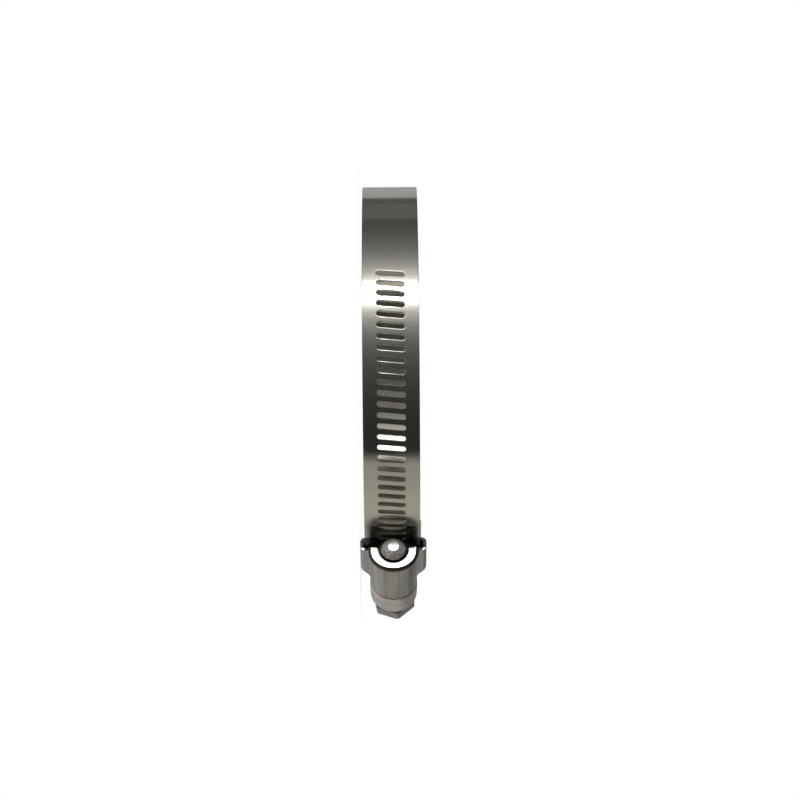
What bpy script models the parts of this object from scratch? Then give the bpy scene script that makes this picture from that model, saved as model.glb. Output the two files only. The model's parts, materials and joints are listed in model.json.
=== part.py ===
"""Worm-drive hose clamp with a punched band, lying flat on its band's edge.

One rolled and punched band, one formed housing and one worm screw with a hex head. All lengths are in
metres. The ring's axis is Z, the housing sits on the +X side, and the screw lies along Y with its
hex head towards +Y.
"""

import math

import bmesh
import bpy
from mathutils import Matrix, Vector

# Band: one steel strip, rolled into a ring and punched with slanted slots
BAND_WIDTH = 0.0159
BAND_THICKNESS = 0.0008
RING_RADIUS = 0.0551
SLOT_PITCH = 0.003175
SLOT_LENGTH = 0.0080
SLOT_WIDTH = 0.0015
LAYER_GAP = 0.0003
FLAT_LENGTH = 0.0172
HEEL_RADIUS = 0.019
VISIBLE_SLOTS = 25
FIRST_SLOT_BEFORE_FLAT = 0.0078
TAIL_LENGTH = 0.046
TAIL_PLAIN = 0.007
TAIL_COVER = 0.012
FIXED_END_LEAD = 0.0070
CORNER_RADIUS = 0.0028
NOTCH_LENGTH = 0.0030
NOTCH_DEPTH = 0.0013

# Worm screw, turned and thread-cut in one piece with its hex head
THREAD_RADIUS = 0.0055
THREAD_DEPTH = 0.0012
THREAD_CREST = 0.0006
THREAD_ROOT_EXTRA = 0.0005
THREAD_ENGAGEMENT = 0.0007
THREAD_START = 0.0014
THREAD_END = 0.0152
TIP_RADIUS = 0.0016
JOURNAL_RADIUS = 0.0035
TIP_LENGTH = 0.0021
NECK_RADIUS = 0.0041
WASHER_FACE_RADIUS = 0.0060
WASHER_FACE_LENGTH = 0.0006
HEX_ACROSS_FLATS = 0.0111
HEX_LENGTH = 0.0048
HEX_CHAMFER = 0.0004
HEX_END_RADIUS = 0.0061
HEX_TURN = 19.0
DRIVER_SLOT_WIDTH = 0.0013
DRIVER_SLOT_DEPTH = 0.0019
DRIVER_SLOT_TURN = 4.0

# Housing: one sheet, formed into a dome, a front wall, two shoulders and two folded ears
SHEET = 0.0009
CLEARANCE = 0.0003
BEND_RADIUS = 0.0010
FRONT_BEND = 0.0005
FRONT_FLARE = 0.0005
DOME_LENGTH = 0.0170
EAR_END = 0.0186
REAR_SLANT = 0.0039
NECK_OVERHANG = 0.0078
NECK_SWELL = 0.0001
NECK_GROOVE = 0.0002
EAR_START = 0.0070
SIDE_PLAY = 0.0003
EAR_CLEARANCE = 0.0004
EAR_HALF_SPAN = BAND_WIDTH / 2 + SIDE_PLAY + EAR_CLEARANCE + SHEET / 2
HEM_END = BAND_WIDTH / 2 - 0.0037
WALL_OPENING = JOURNAL_RADIUS + 0.0009
WALL_FOOT = 0.0009
FOOT_ROUNDING = 0.0009
NIB_LENGTH = 0.0024
NIB_REACH = 0.0010

# Heights above the band's outer face on the flat, along +X
AXIS_HEIGHT = THREAD_RADIUS - THREAD_ENGAGEMENT
DOME_MID_RADIUS = THREAD_RADIUS + CLEARANCE + SHEET / 2
SHOULDER_HEIGHT = CLEARANCE + SHEET / 2
HEM_HEIGHT = -(2 * BAND_THICKNESS + LAYER_GAP + CLEARANCE + SHEET / 2)
LAYER_STEP = BAND_THICKNESS + LAYER_GAP

# The neck carries the head past the end of the flat, where the hex clears the band's heel
NECK_LENGTH = FLAT_LENGTH - DOME_LENGTH + NECK_OVERHANG

# The housing's neck behind the dome: share of its length, and how far its sheet lies inside the dome
NECK_ROWS = [
    (0.07, NECK_GROOVE),
    (0.14, NECK_GROOVE),
    (0.22, 0.0),
    (0.40, -NECK_SWELL),
    (1.0, -NECK_SWELL),
]

# The base path: flat, heel arc, straight back to the circle, and the circle
HEEL_ANGLE = 2 * math.atan(FLAT_LENGTH / (RING_RADIUS - HEEL_RADIUS))
HEEL_LENGTH = HEEL_RADIUS * HEEL_ANGLE
CIRCLE_LENGTH = RING_RADIUS * (2 * math.pi - HEEL_ANGLE)
LOOP_LENGTH = 2 * FLAT_LENGTH + HEEL_LENGTH + CIRCLE_LENGTH

BEND_STEP = 0.0025
MID_SPAN = SLOT_LENGTH / 2 + 0.0004
SLOT_END_STEPS = 4
SCREW_STEPS = 48
MERGE = 0.00001


def clear_scene():
    """Remove every object of the opening scene."""
    for thing in list(bpy.data.objects):
        bpy.data.objects.remove(thing, do_unlink=True)


def steel(name, colour, roughness):
    """Return a metallic material."""
    material = bpy.data.materials.new(name)
    material.use_nodes = True
    shader = material.node_tree.nodes["Principled BSDF"]
    shader.inputs["Base Color"].default_value = (*colour, 1.0)
    shader.inputs["Metallic"].default_value = 1.0
    shader.inputs["Roughness"].default_value = roughness
    return material


def add_object(name, bm, material, sharp_degrees=35.0):
    """Turn a bmesh into a named object, shaded smooth with sharp edges kept."""
    bmesh.ops.remove_doubles(bm, verts=bm.verts[:], dist=MERGE)
    bmesh.ops.recalc_face_normals(bm, faces=bm.faces[:])
    mesh = bpy.data.meshes.new(name)
    bm.to_mesh(mesh)
    bm.free()
    mesh.materials.append(material)
    mesh.shade_smooth()
    mesh.set_sharp_from_angle(angle=math.radians(sharp_degrees))
    thing = bpy.data.objects.new(name, mesh)
    bpy.context.scene.collection.objects.link(thing)
    return thing


def path_point(distance, lift):
    """Return the point at a distance along the base path, lifted outwards from it.

    The path starts where the flat under the screw begins and runs towards the hex head.
    """
    d = distance % LOOP_LENGTH
    if d <= FLAT_LENGTH:
        base = Vector((RING_RADIUS, d, 0))
        heading = 0.0
    elif d <= FLAT_LENGTH + HEEL_LENGTH:
        heading = (d - FLAT_LENGTH) / HEEL_RADIUS
        centre = Vector((RING_RADIUS - HEEL_RADIUS, FLAT_LENGTH, 0))
        base = centre + HEEL_RADIUS * Vector((math.cos(heading), math.sin(heading), 0))
    elif d <= 2 * FLAT_LENGTH + HEEL_LENGTH:
        heading = HEEL_ANGLE
        back = 2 * FLAT_LENGTH + HEEL_LENGTH - d
        on_circle = RING_RADIUS * Vector((math.cos(heading), math.sin(heading), 0))
        base = on_circle + back * Vector((math.sin(heading), -math.cos(heading), 0))
    else:
        heading = HEEL_ANGLE + (d - 2 * FLAT_LENGTH - HEEL_LENGTH) / RING_RADIUS
        base = RING_RADIUS * Vector((math.cos(heading), math.sin(heading), 0))
    outwards = Vector((math.cos(heading), math.sin(heading), 0))
    return base + lift * outwards


def band_lift(s):
    """Return how far the band's outer face lies from the base path, at a length along the strip.

    The fixed end and the strip that leaves it lie one layer below the returning, punched end.
    """
    lower = TAIL_LENGTH + TAIL_COVER
    upper = LOOP_LENGTH * 0.52
    t = min(max((s - lower) / (upper - lower), 0.0), 1.0)
    return -LAYER_STEP * (1.0 - t * t * (3.0 - 2.0 * t))


def band_sidestep(s):
    """Return how far the strip lies to one side, at a length along it.

    The fixed end and the housing that holds it sit to one side of the returning end, by the play
    that the ears leave it.
    """
    t = min(max(s / (LOOP_LENGTH * 0.5), 0.0), 1.0)
    return SIDE_PLAY * (1.0 - t * t * (3.0 - 2.0 * t))


class Strip:
    """The flat pattern of the band, made of faces that share their corners."""

    def __init__(self):
        """Start with no faces."""
        self.bm = bmesh.new()
        self.corners = {}

    def corner(self, s, z):
        """Return the vertex at this place of the pattern."""
        key = (round(s / MERGE), round(z / MERGE))
        if key not in self.corners:
            self.corners[key] = self.bm.verts.new((s, z, 0.0))
        return self.corners[key]

    def face(self, points):
        """Add one face through these points of the pattern."""
        ring = []
        for s, z in points:
            vert = self.corner(s, z)
            if vert not in ring:
                ring.append(vert)
        if len(ring) > 2:
            self.bm.faces.new(ring)


def plain_step(strip, s0, s1, edge0, edge1):
    """Add one plain step of the strip between two lines across it.

    Each edge lists the half widths at which its line has corners, from the middle out.
    """
    strip.face([(s0, -edge0[0]), (s0, edge0[0]), (s1, edge1[0]), (s1, -edge1[0])])
    for side in (1, -1):
        near = [(s0, side * w) for w in edge0]
        far = [(s1, side * w) for w in reversed(edge1)]
        strip.face(near + far)


def slotted_cell(strip, middle):
    """Add one cell of the strip with its slanted, round-ended slot."""
    half = SLOT_PITCH / 2
    edge = BAND_WIDTH / 2
    low, high = middle - half, middle + half
    reach = SLOT_LENGTH / 2 - SLOT_WIDTH / 2
    slant = slot_slant()
    ends = {}
    for side in (1, -1):
        centre_s = middle + side * reach * math.sin(slant)
        centre_z = side * reach * math.cos(slant)
        arc = []
        for step in range(SLOT_END_STEPS + 1):
            turn = math.pi * (step / SLOT_END_STEPS - 0.5)
            along = SLOT_WIDTH / 2 * math.sin(turn)
            out = side * SLOT_WIDTH / 2 * math.cos(turn)
            s = centre_s + along * math.cos(slant) + out * math.sin(slant)
            z = centre_z + out * math.cos(slant) - along * math.sin(slant)
            arc.append((s, z))
        ends[side] = arc
    strip.face([(low, -MID_SPAN), (low, MID_SPAN), ends[1][0], ends[-1][0]])
    strip.face([ends[-1][-1], ends[1][-1], (high, MID_SPAN), (high, -MID_SPAN)])
    tip = SLOT_END_STEPS // 2
    for side in (1, -1):
        arc = ends[side]
        outer = (middle, side * edge)
        strip.face([(low, side * MID_SPAN), (low, side * edge), outer] + arc[: tip + 1][::-1])
        strip.face([outer, (high, side * edge), (high, side * MID_SPAN)] + arc[tip:][::-1])


def slot_slant():
    """Return the slots' slant, which is the worm's lead angle where it meets the band."""
    return math.atan(SLOT_PITCH / (2 * math.pi * (THREAD_RADIUS - THREAD_ENGAGEMENT / 2)))


def rounded_end(strip, s_line, s_end, edges, radius):
    """Close the strip with an end whose corners are rounded."""
    edge = edges[-1]
    sign = 1 if s_end > s_line else -1
    strip.face([(s_line, -edges[0]), (s_line, edges[0]), (s_end, edges[0]), (s_end, -edges[0])])
    for side in (1, -1):
        ring = [(s_line, side * w) for w in edges]
        for step in range(7):
            turn = math.pi / 2 * step / 6
            s = s_end - sign * radius * (1 - math.sin(turn))
            z = side * (edge - radius * (1 - math.cos(turn)))
            ring.append((s, z))
        ring.append((s_end, side * edges[0]))
        strip.face(ring)


def slot_places():
    """Return the middles of the slots along the strip, from the first to the last."""
    last_seen = LOOP_LENGTH - FIRST_SLOT_BEFORE_FLAT
    first = last_seen - (VISIBLE_SLOTS - 1) * SLOT_PITCH
    places = []
    place = first
    while place < LOOP_LENGTH + TAIL_LENGTH - TAIL_PLAIN:
        places.append(place)
        place += SLOT_PITCH
    return places


def make_band(material):
    """Punch the flat strip, give it its thickness and roll it into the ring."""
    strip = Strip()
    edge = BAND_WIDTH / 2
    plain = [MID_SPAN, edge]
    cut = [MID_SPAN, edge - NOTCH_DEPTH]
    both = [MID_SPAN, edge - NOTCH_DEPTH, edge]
    start = -FIXED_END_LEAD
    notch = nib_place() - NOTCH_LENGTH / 2

    rounded_end(strip, start + CORNER_RADIUS + 0.0004, start, plain, CORNER_RADIUS)
    lines = [(start + CORNER_RADIUS + 0.0004, plain)]
    count = max(1, math.ceil((notch - lines[0][0]) / BEND_STEP))
    for k in range(1, count):
        lines.append((lines[0][0] + (notch - lines[0][0]) * k / count, plain))
    for k in range(len(lines) - 1):
        plain_step(strip, lines[k][0], lines[k + 1][0], plain, plain)
    plain_step(strip, lines[-1][0], notch, plain, both)
    plain_step(strip, notch, notch + NOTCH_LENGTH, cut, cut)

    places = slot_places()
    first_cell = places[0] - SLOT_PITCH / 2
    begin = notch + NOTCH_LENGTH
    count = math.ceil((first_cell - begin) / BEND_STEP)
    step = (first_cell - begin) / count
    plain_step(strip, begin, begin + step, both, plain)
    for k in range(1, count):
        plain_step(strip, begin + k * step, begin + (k + 1) * step, plain, plain)
    for place in places:
        slotted_cell(strip, place)

    finish = LOOP_LENGTH + TAIL_LENGTH
    line = places[-1] + SLOT_PITCH / 2
    last = finish - CORNER_RADIUS - 0.0004
    count = max(1, math.ceil((last - line) / BEND_STEP))
    for k in range(count):
        plain_step(
            strip, line + (last - line) * k / count, line + (last - line) * (k + 1) / count, plain, plain
        )
    rounded_end(strip, last, finish, plain, CORNER_RADIUS)

    bm = strip.bm
    bmesh.ops.recalc_face_normals(bm, faces=bm.faces[:])
    moved = bmesh.ops.extrude_face_region(bm, geom=bm.faces[:])
    for item in moved["geom"]:
        if isinstance(item, bmesh.types.BMVert):
            item.co.z -= BAND_THICKNESS
    for vert in bm.verts:
        s, z, depth = vert.co
        place = path_point(s, band_lift(s) + depth)
        vert.co = (place.x, place.y, z + band_sidestep(s))
    return add_object("band", bm, material)


def nib_place():
    """Return how far along the flat the crimped nibs sit."""
    return (EAR_START + EAR_END) / 2


def housing_columns():
    """Return the housing's section: height above the band, half span, and what the column carries.

    The section is listed for one side, from the crown to the end of the hem.
    """
    columns = []
    steps = 12
    for k in range(steps + 1):
        turn = math.pi / 2 * k / steps
        place = (AXIS_HEIGHT + DOME_MID_RADIUS * math.cos(turn), DOME_MID_RADIUS * math.sin(turn))
        columns.append((place, "dome"))
    foot = AXIS_HEIGHT - WALL_FOOT
    for share in (0.45, 0.8, 1.0):
        columns.append(((AXIS_HEIGHT - WALL_FOOT * share, DOME_MID_RADIUS), "dome"))
    bend = BEND_RADIUS
    side_end = SHOULDER_HEIGHT + bend
    for k in range(1, 3):
        columns.append(((foot + (side_end - foot) * k / 2, DOME_MID_RADIUS), "side"))
    for k in range(1, 5):
        turn = math.pi / 2 * k / 4
        h = side_end - bend * math.sin(turn)
        z = DOME_MID_RADIUS + bend * (1 - math.cos(turn))
        columns.append(((h, z), "ear"))
    for k in range(5):
        turn = math.pi / 2 * k / 4
        h = SHOULDER_HEIGHT - bend * (1 - math.cos(turn))
        z = EAR_HALF_SPAN - bend + bend * math.sin(turn)
        columns.append(((h, z), "ear"))
    for k in range(5):
        turn = math.pi / 2 * k / 4
        h = HEM_HEIGHT + bend - bend * math.sin(turn)
        z = EAR_HALF_SPAN - bend + bend * math.cos(turn)
        columns.append(((h, z), "ear"))
    columns.append(((HEM_HEIGHT, (HEM_END + EAR_HALF_SPAN - bend) / 2), "ear"))
    columns.append(((HEM_HEIGHT, HEM_END), "ear"))
    return columns


def column_start(height, kind):
    """Return where a column of the housing's sheet begins along the screw."""
    front = SHEET / 2 + FRONT_BEND
    if kind == "dome":
        return front
    top = AXIS_HEIGHT - WALL_FOOT
    bottom = SHOULDER_HEIGHT + BEND_RADIUS
    share = min(max((top - height) / (top - bottom), 0.0), 1.0)
    return front + (EAR_START - front) * share


def column_end(height, z, kind):
    """Return where a column of the housing's body ends along the screw.

    The shoulders reach further back at the dome than at the ears, so their rear edges slant.
    """
    if kind == "dome":
        return DOME_LENGTH
    if kind == "side":
        top = AXIS_HEIGHT - WALL_FOOT
        share = (top - height) / (top - SHOULDER_HEIGHT - BEND_RADIUS)
        return DOME_LENGTH + (EAR_END + REAR_SLANT - DOME_LENGTH) * share
    if height < SHOULDER_HEIGHT - BEND_RADIUS * 1.01:
        return EAR_END
    share = (EAR_HALF_SPAN - abs(z)) / (EAR_HALF_SPAN - DOME_MID_RADIUS)
    return EAR_END + REAR_SLANT * min(max(share, 0.0), 1.0)


def flare(along):
    """Return how much wider, on each side, the housing is at a distance along the screw.

    It is widest at its front wall and narrows to the neck's width where the dome ends.
    """
    share = min(max(along / DOME_LENGTH, 0.0), 1.0)
    return FRONT_FLARE * (1.0 - share * share)


def flared(along, z, kind):
    """Return how far to one side a place of the section lies, once the housing is flared."""
    if kind == "dome":
        return z * (1.0 + flare(along) / DOME_MID_RADIUS)
    reach = (EAR_HALF_SPAN - BEND_RADIUS - abs(z)) / (EAR_HALF_SPAN - 2 * BEND_RADIUS - DOME_MID_RADIUS)
    return z + math.copysign(flare(along) * min(max(reach, 0.0), 1.0), z)


def make_housing(material):
    """Form the housing's sheet and give it its thickness."""
    bm = bmesh.new()
    one_side = housing_columns()
    section = [(h, -z, kind) for (h, z), kind in reversed(one_side[1:])]
    section += [(h, z, kind) for (h, z), kind in one_side]
    body_rows = [k / 6 for k in range(7)]
    bend_steps = 4
    front = SHEET / 2 + FRONT_BEND
    grid = []
    for h, z, kind in section:
        column = []
        start = column_start(h, kind)
        if kind == "dome":
            inner_h, inner_z = wall_edge(h, z)
            away = Vector((h - AXIS_HEIGHT, z))
            if h >= AXIS_HEIGHT:
                unit = away.normalized()
            else:
                unit = Vector((0.0, math.copysign(1.0, z)))
            wide_z = flared(front, z, kind)
            inset = Vector((h, wide_z)) - FRONT_BEND * unit
            inner = Vector((inner_h, inner_z))
            for k in range(3):
                spot = inner.lerp(inset, k / 2)
                column.append(Vector((spot.x, SHEET / 2, spot.y)))
            for k in range(1, bend_steps):
                turn = math.pi / 2 * k / bend_steps
                spot = inset + FRONT_BEND * math.sin(turn) * unit
                along = SHEET / 2 + FRONT_BEND * (1 - math.cos(turn))
                column.append(Vector((spot.x, along, spot.y)))
        else:
            column += [None] * (3 + bend_steps - 1)
        finish = column_end(h, z, kind)
        for row in body_rows:
            along = start + (finish - start) * row
            column.append(Vector((h, along, flared(along, z, kind))))
        if kind == "dome":
            for row, shrink in NECK_ROWS:
                if h >= AXIS_HEIGHT:
                    away = Vector((h - AXIS_HEIGHT, z))
                    spot = away * (1 - shrink / DOME_MID_RADIUS)
                    spot = (spot.x + AXIS_HEIGHT, spot.y)
                else:
                    spot = (h, z - math.copysign(shrink, z))
                column.append(Vector((spot[0], DOME_LENGTH + NECK_LENGTH * row, spot[1])))
        else:
            column += [None] * len(NECK_ROWS)
        grid.append(column)
    verts = []
    for column in grid:
        made = []
        for spot in column:
            if spot is None:
                made.append(None)
            else:
                made.append(bm.verts.new((RING_RADIUS + spot.x, spot.y, spot.z)))
        verts.append(made)
    for left, right in zip(verts, verts[1:]):
        for k in range(len(left) - 1):
            ring = [left[k], left[k + 1], right[k + 1], right[k]]
            if all(vert is not None for vert in ring):
                bm.faces.new(ring)
    bmesh.ops.recalc_face_normals(bm, faces=bm.faces[:])
    bmesh.ops.translate(bm, verts=bm.verts[:], vec=(0, 0, SIDE_PLAY))
    thing = add_object("housing", bm, material)
    thick = thing.modifiers.new("thickness", "SOLIDIFY")
    thick.thickness = SHEET
    thick.offset = 0.0
    thick.use_even_offset = True
    apply_modifiers(thing)
    for side in (1, -1):
        unite(thing, nib(side))
    thing.data.shade_smooth()
    thing.data.set_sharp_from_angle(angle=math.radians(35.0))
    return thing


def wall_edge(h, z):
    """Return the place on the front wall's opening that faces this place of the dome."""
    side = math.copysign(1.0, z)
    if h >= AXIS_HEIGHT:
        turn = math.atan2(abs(z), h - AXIS_HEIGHT)
        return AXIS_HEIGHT + WALL_OPENING * math.cos(turn), side * WALL_OPENING * math.sin(turn)
    share = (AXIS_HEIGHT - h) / WALL_FOOT
    return h, side * (WALL_OPENING + FOOT_ROUNDING * (1 - math.sqrt(max(0.0, 1 - share * share))))


def nib(side):
    """Return the crimped nib that sits in the fixed end's edge notch."""
    inner = BAND_WIDTH / 2 - NIB_REACH
    outer = EAR_HALF_SPAN
    low = HEM_HEIGHT
    high = -LAYER_STEP
    bm = bmesh.new()
    bmesh.ops.create_cube(bm, size=1.0)
    size = Vector((high - low, NIB_LENGTH, outer - inner))
    middle = Vector((RING_RADIUS + (low + high) / 2, nib_place(), side * (inner + outer) / 2 + SIDE_PLAY))
    for vert in bm.verts:
        vert.co = Vector((vert.co.x * size.x, vert.co.y * size.y, vert.co.z * size.z)) + middle
    mesh = bpy.data.meshes.new("nib_tool")
    bm.to_mesh(mesh)
    bm.free()
    thing = bpy.data.objects.new("nib_tool", mesh)
    bpy.context.scene.collection.objects.link(thing)
    return thing


def apply_modifiers(thing):
    """Replace an object's mesh with the result of its modifiers."""
    graph = bpy.context.evaluated_depsgraph_get()
    graph.update()
    evaluated = thing.evaluated_get(graph)
    mesh = bpy.data.meshes.new_from_object(evaluated, depsgraph=graph)
    old = thing.data
    thing.modifiers.clear()
    thing.data = mesh
    mesh.name = thing.name
    bpy.data.meshes.remove(old)


def combine(thing, tool, operation):
    """Apply one exact Boolean with a tool object, and remove the tool."""
    step = thing.modifiers.new(operation.lower(), "BOOLEAN")
    step.operation = operation
    step.solver = "EXACT"
    step.object = tool
    apply_modifiers(thing)
    bpy.data.objects.remove(tool, do_unlink=True)


def unite(thing, tool):
    """Unite an object with a tool object."""
    combine(thing, tool, "UNION")


def turned(name, profile, steps):
    """Return an object turned about Y from a list of (length along Y, radius) places."""
    bm = bmesh.new()
    verts = [bm.verts.new((radius, along, 0.0)) for along, radius in profile]
    edges = [bm.edges.new(pair) for pair in zip(verts, verts[1:])]
    bmesh.ops.spin(
        bm,
        geom=verts + edges,
        cent=(0, 0, 0),
        axis=(0, 1, 0),
        angle=2 * math.pi,
        steps=steps,
        use_merge=True,
    )
    bmesh.ops.remove_doubles(bm, verts=bm.verts[:], dist=MERGE)
    bmesh.ops.recalc_face_normals(bm, faces=bm.faces[:])
    mesh = bpy.data.meshes.new(name)
    bm.to_mesh(mesh)
    bm.free()
    thing = bpy.data.objects.new(name, mesh)
    bpy.context.scene.collection.objects.link(thing)
    return thing


def thread_tool():
    """Return the worm's right-hand thread as one helical bar with run-outs at both ends."""
    bm = bmesh.new()
    per_turn = 32
    root = THREAD_RADIUS - THREAD_DEPTH
    sunk = root - 0.0004
    foot = THREAD_CREST + THREAD_ROOT_EXTRA
    half_foot = foot / 2 + 0.0001
    # The thread's crest passes the band side (towards -X) in the middle of each slot
    phase_place = slot_places()[-1] - LOOP_LENGTH
    first = THREAD_START + half_foot
    last = THREAD_END - half_foot
    count = int(round((last - first) / SLOT_PITCH * per_turn))
    runout = per_turn // 6
    rings = []
    for k in range(count + 1):
        along = first + (last - first) * k / count
        turn = 2 * math.pi * (along - phase_place) / SLOT_PITCH
        # A right-hand thread seen from its tip: it advances towards +Y while turning from -X to +Z
        outward = Vector((-math.cos(turn), 0, math.sin(turn)))
        share = min(1.0, k / runout, (count - k) / runout)
        crest = sunk + 0.0002 + (THREAD_RADIUS - sunk - 0.0002) * share
        ring = []
        for radius, offset in (
            (sunk, -half_foot),
            (crest, -THREAD_CREST / 2),
            (crest, THREAD_CREST / 2),
            (sunk, half_foot),
        ):
            spot = outward * radius
            ring.append(bm.verts.new((spot.x, along + offset, spot.z)))
        rings.append(ring)
    for a, b in zip(rings, rings[1:]):
        for k in range(4):
            n = (k + 1) % 4
            bm.faces.new([a[k], a[n], b[n], b[k]])
    bm.faces.new(rings[0])
    bm.faces.new(rings[-1][::-1])
    bmesh.ops.recalc_face_normals(bm, faces=bm.faces[:])
    mesh = bpy.data.meshes.new("thread_tool")
    bm.to_mesh(mesh)
    bm.free()
    thing = bpy.data.objects.new("thread_tool", mesh)
    bpy.context.scene.collection.objects.link(thing)
    return thing


def hex_tool(start, finish):
    """Return the hex head, chamfered at its outer end."""
    corner = HEX_ACROSS_FLATS / 2 / math.cos(math.pi / 6)
    bm = bmesh.new()
    bmesh.ops.create_cone(
        bm,
        cap_ends=True,
        segments=6,
        radius1=corner,
        radius2=corner,
        depth=finish - start,
        matrix=Matrix.Translation((0, (start + finish) / 2, 0)) @ Matrix.Rotation(math.pi / 2, 4, "X"),
    )
    bmesh.ops.rotate(bm, verts=bm.verts[:], cent=(0, 0, 0), matrix=Matrix.Rotation(math.radians(HEX_TURN), 3, "Y"))
    mesh = bpy.data.meshes.new("hex_tool")
    bm.to_mesh(mesh)
    bm.free()
    thing = bpy.data.objects.new("hex_tool", mesh)
    bpy.context.scene.collection.objects.link(thing)
    limit = turned(
        "limit_tool",
        [
            (start - 0.001, 0.0),
            (start - 0.001, corner + 0.001),
            (finish - HEX_CHAMFER, corner + 0.001),
            (finish - HEX_CHAMFER, corner + 0.0001),
            (finish, HEX_END_RADIUS),
            (finish, 0.0),
        ],
        SCREW_STEPS,
    )
    combine(thing, limit, "INTERSECT")
    return thing


def make_screw(material):
    """Turn the screw's core, add its worm thread and hex head, and cut the driver slot."""
    root = THREAD_RADIUS - THREAD_DEPTH
    head_start = DOME_LENGTH + NECK_LENGTH + CLEARANCE
    hex_start = head_start + WASHER_FACE_LENGTH
    finish = hex_start + HEX_LENGTH
    core = turned(
        "core_tool",
        [
            (-TIP_LENGTH, 0.0),
            (-TIP_LENGTH, TIP_RADIUS),
            (0.0, JOURNAL_RADIUS),
            (THREAD_START - 0.0002, JOURNAL_RADIUS),
            (THREAD_START + 0.0002, root),
            (THREAD_END, root),
            (THREAD_END + 0.0002, NECK_RADIUS),
            (head_start, NECK_RADIUS),
            (head_start, WASHER_FACE_RADIUS - 0.0002),
            (head_start + 0.0002, WASHER_FACE_RADIUS),
            (hex_start, WASHER_FACE_RADIUS),
            (hex_start, NECK_RADIUS),
            (hex_start + 0.0010, NECK_RADIUS),
            (hex_start + 0.0010, 0.0),
        ],
        SCREW_STEPS,
    )
    unite(core, thread_tool())
    unite(core, hex_tool(hex_start - 0.0002, finish))
    bm = bmesh.new()
    bmesh.ops.create_cube(bm, size=1.0)
    for vert in bm.verts:
        vert.co = Vector((vert.co.x * DRIVER_SLOT_WIDTH, vert.co.y * 0.004, vert.co.z * 0.02))
        vert.co.y += finish - DRIVER_SLOT_DEPTH + 0.002
    turn = Matrix.Rotation(math.radians(DRIVER_SLOT_TURN), 3, "Y")
    bmesh.ops.rotate(bm, verts=bm.verts[:], cent=(0, 0, 0), matrix=turn)
    mesh = bpy.data.meshes.new("slot_tool")
    bm.to_mesh(mesh)
    bm.free()
    slot = bpy.data.objects.new("slot_tool", mesh)
    bpy.context.scene.collection.objects.link(slot)
    combine(core, slot, "DIFFERENCE")
    core.name = "worm_screw"
    core.data.name = "worm_screw"
    core.data.materials.clear()
    core.data.materials.append(material)
    core.data.shade_smooth()
    core.data.set_sharp_from_angle(angle=math.radians(35.0))
    core.location = (RING_RADIUS + AXIS_HEIGHT, 0, SIDE_PLAY)
    return core


def centre_on_floor(things, screw):
    """Move everything so that the origin is the middle of the bounding box's bottom."""
    low = Vector((1.0, 1.0, 1.0))
    high = Vector((-1.0, -1.0, -1.0))
    for thing in things + [screw]:
        for vert in thing.data.vertices:
            spot = vert.co + thing.location
            low = Vector(map(min, low, spot))
            high = Vector(map(max, high, spot))
    shift = Vector((-(low.x + high.x) / 2, -(low.y + high.y) / 2, -low.z))
    for thing in things:
        thing.data.transform(Matrix.Translation(shift))
    screw.location += shift
    print("shift", [round(v, 6) for v in shift], "size", [round(v, 6) for v in high - low])


def main():
    """Build the clamp."""
    clear_scene()
    band = make_band(steel("polished_stainless", (0.62, 0.61, 0.59), 0.14))
    housing = make_housing(steel("formed_stainless", (0.60, 0.59, 0.57), 0.22))
    screw = make_screw(steel("turned_steel", (0.66, 0.66, 0.65), 0.20))
    centre_on_floor([band, housing], screw)


main()
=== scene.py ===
"""Worm-drive hose clamp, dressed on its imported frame.

The clamp lies flat on the edge of its band. The ring's axis is Z, the housing sits on the +X side, and
the screw lies along Y with its hex head towards +Y. All lengths are in metres and all angles are in
degrees, unless a name says otherwise.
"""

import json
import logging
import math
from collections.abc import Callable, Iterator
from contextlib import contextmanager
from dataclasses import dataclass, field
from enum import Enum

import bmesh
import bpy
from bpy.types import Material, MeshPolygon, Node, NodeSocket, NodeTree, Object
from mathutils import Matrix, Vector


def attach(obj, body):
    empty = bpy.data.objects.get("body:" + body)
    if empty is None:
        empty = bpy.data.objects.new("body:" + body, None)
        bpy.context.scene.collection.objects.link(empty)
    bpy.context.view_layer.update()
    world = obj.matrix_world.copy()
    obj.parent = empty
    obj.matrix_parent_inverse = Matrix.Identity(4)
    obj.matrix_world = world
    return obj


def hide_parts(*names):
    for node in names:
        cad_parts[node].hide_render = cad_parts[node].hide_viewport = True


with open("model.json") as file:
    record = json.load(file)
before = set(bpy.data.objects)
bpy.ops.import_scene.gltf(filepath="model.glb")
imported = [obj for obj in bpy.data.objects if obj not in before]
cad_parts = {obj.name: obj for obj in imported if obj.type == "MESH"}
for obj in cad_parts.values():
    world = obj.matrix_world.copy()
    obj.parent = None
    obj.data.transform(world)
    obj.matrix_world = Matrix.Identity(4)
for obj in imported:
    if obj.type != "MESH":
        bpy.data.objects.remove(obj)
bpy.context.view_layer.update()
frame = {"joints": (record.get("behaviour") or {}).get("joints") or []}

LOG = logging.getLogger("hose_clamp")

NEAR = 1e-6
FULL_TURN = 2 * math.pi  # in radians, as Blender's operators take it
QUARTER_TURN = FULL_TURN / 4
ALONG_SCREW = Vector((0, 1, 0))
SOFT_BELOW = 32.0
ARC_STEPS = 64
LATHE_STEPS = 96

# How squarely a face looks a way: the least share of its normal that points there
LOOKS = 0.4
FACES = 0.985


class Pick(Enum):
    """What an edit-mode selection is made of."""

    VERT = "VERT"
    EDGE = "EDGE"
    FACE = "FACE"


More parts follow.
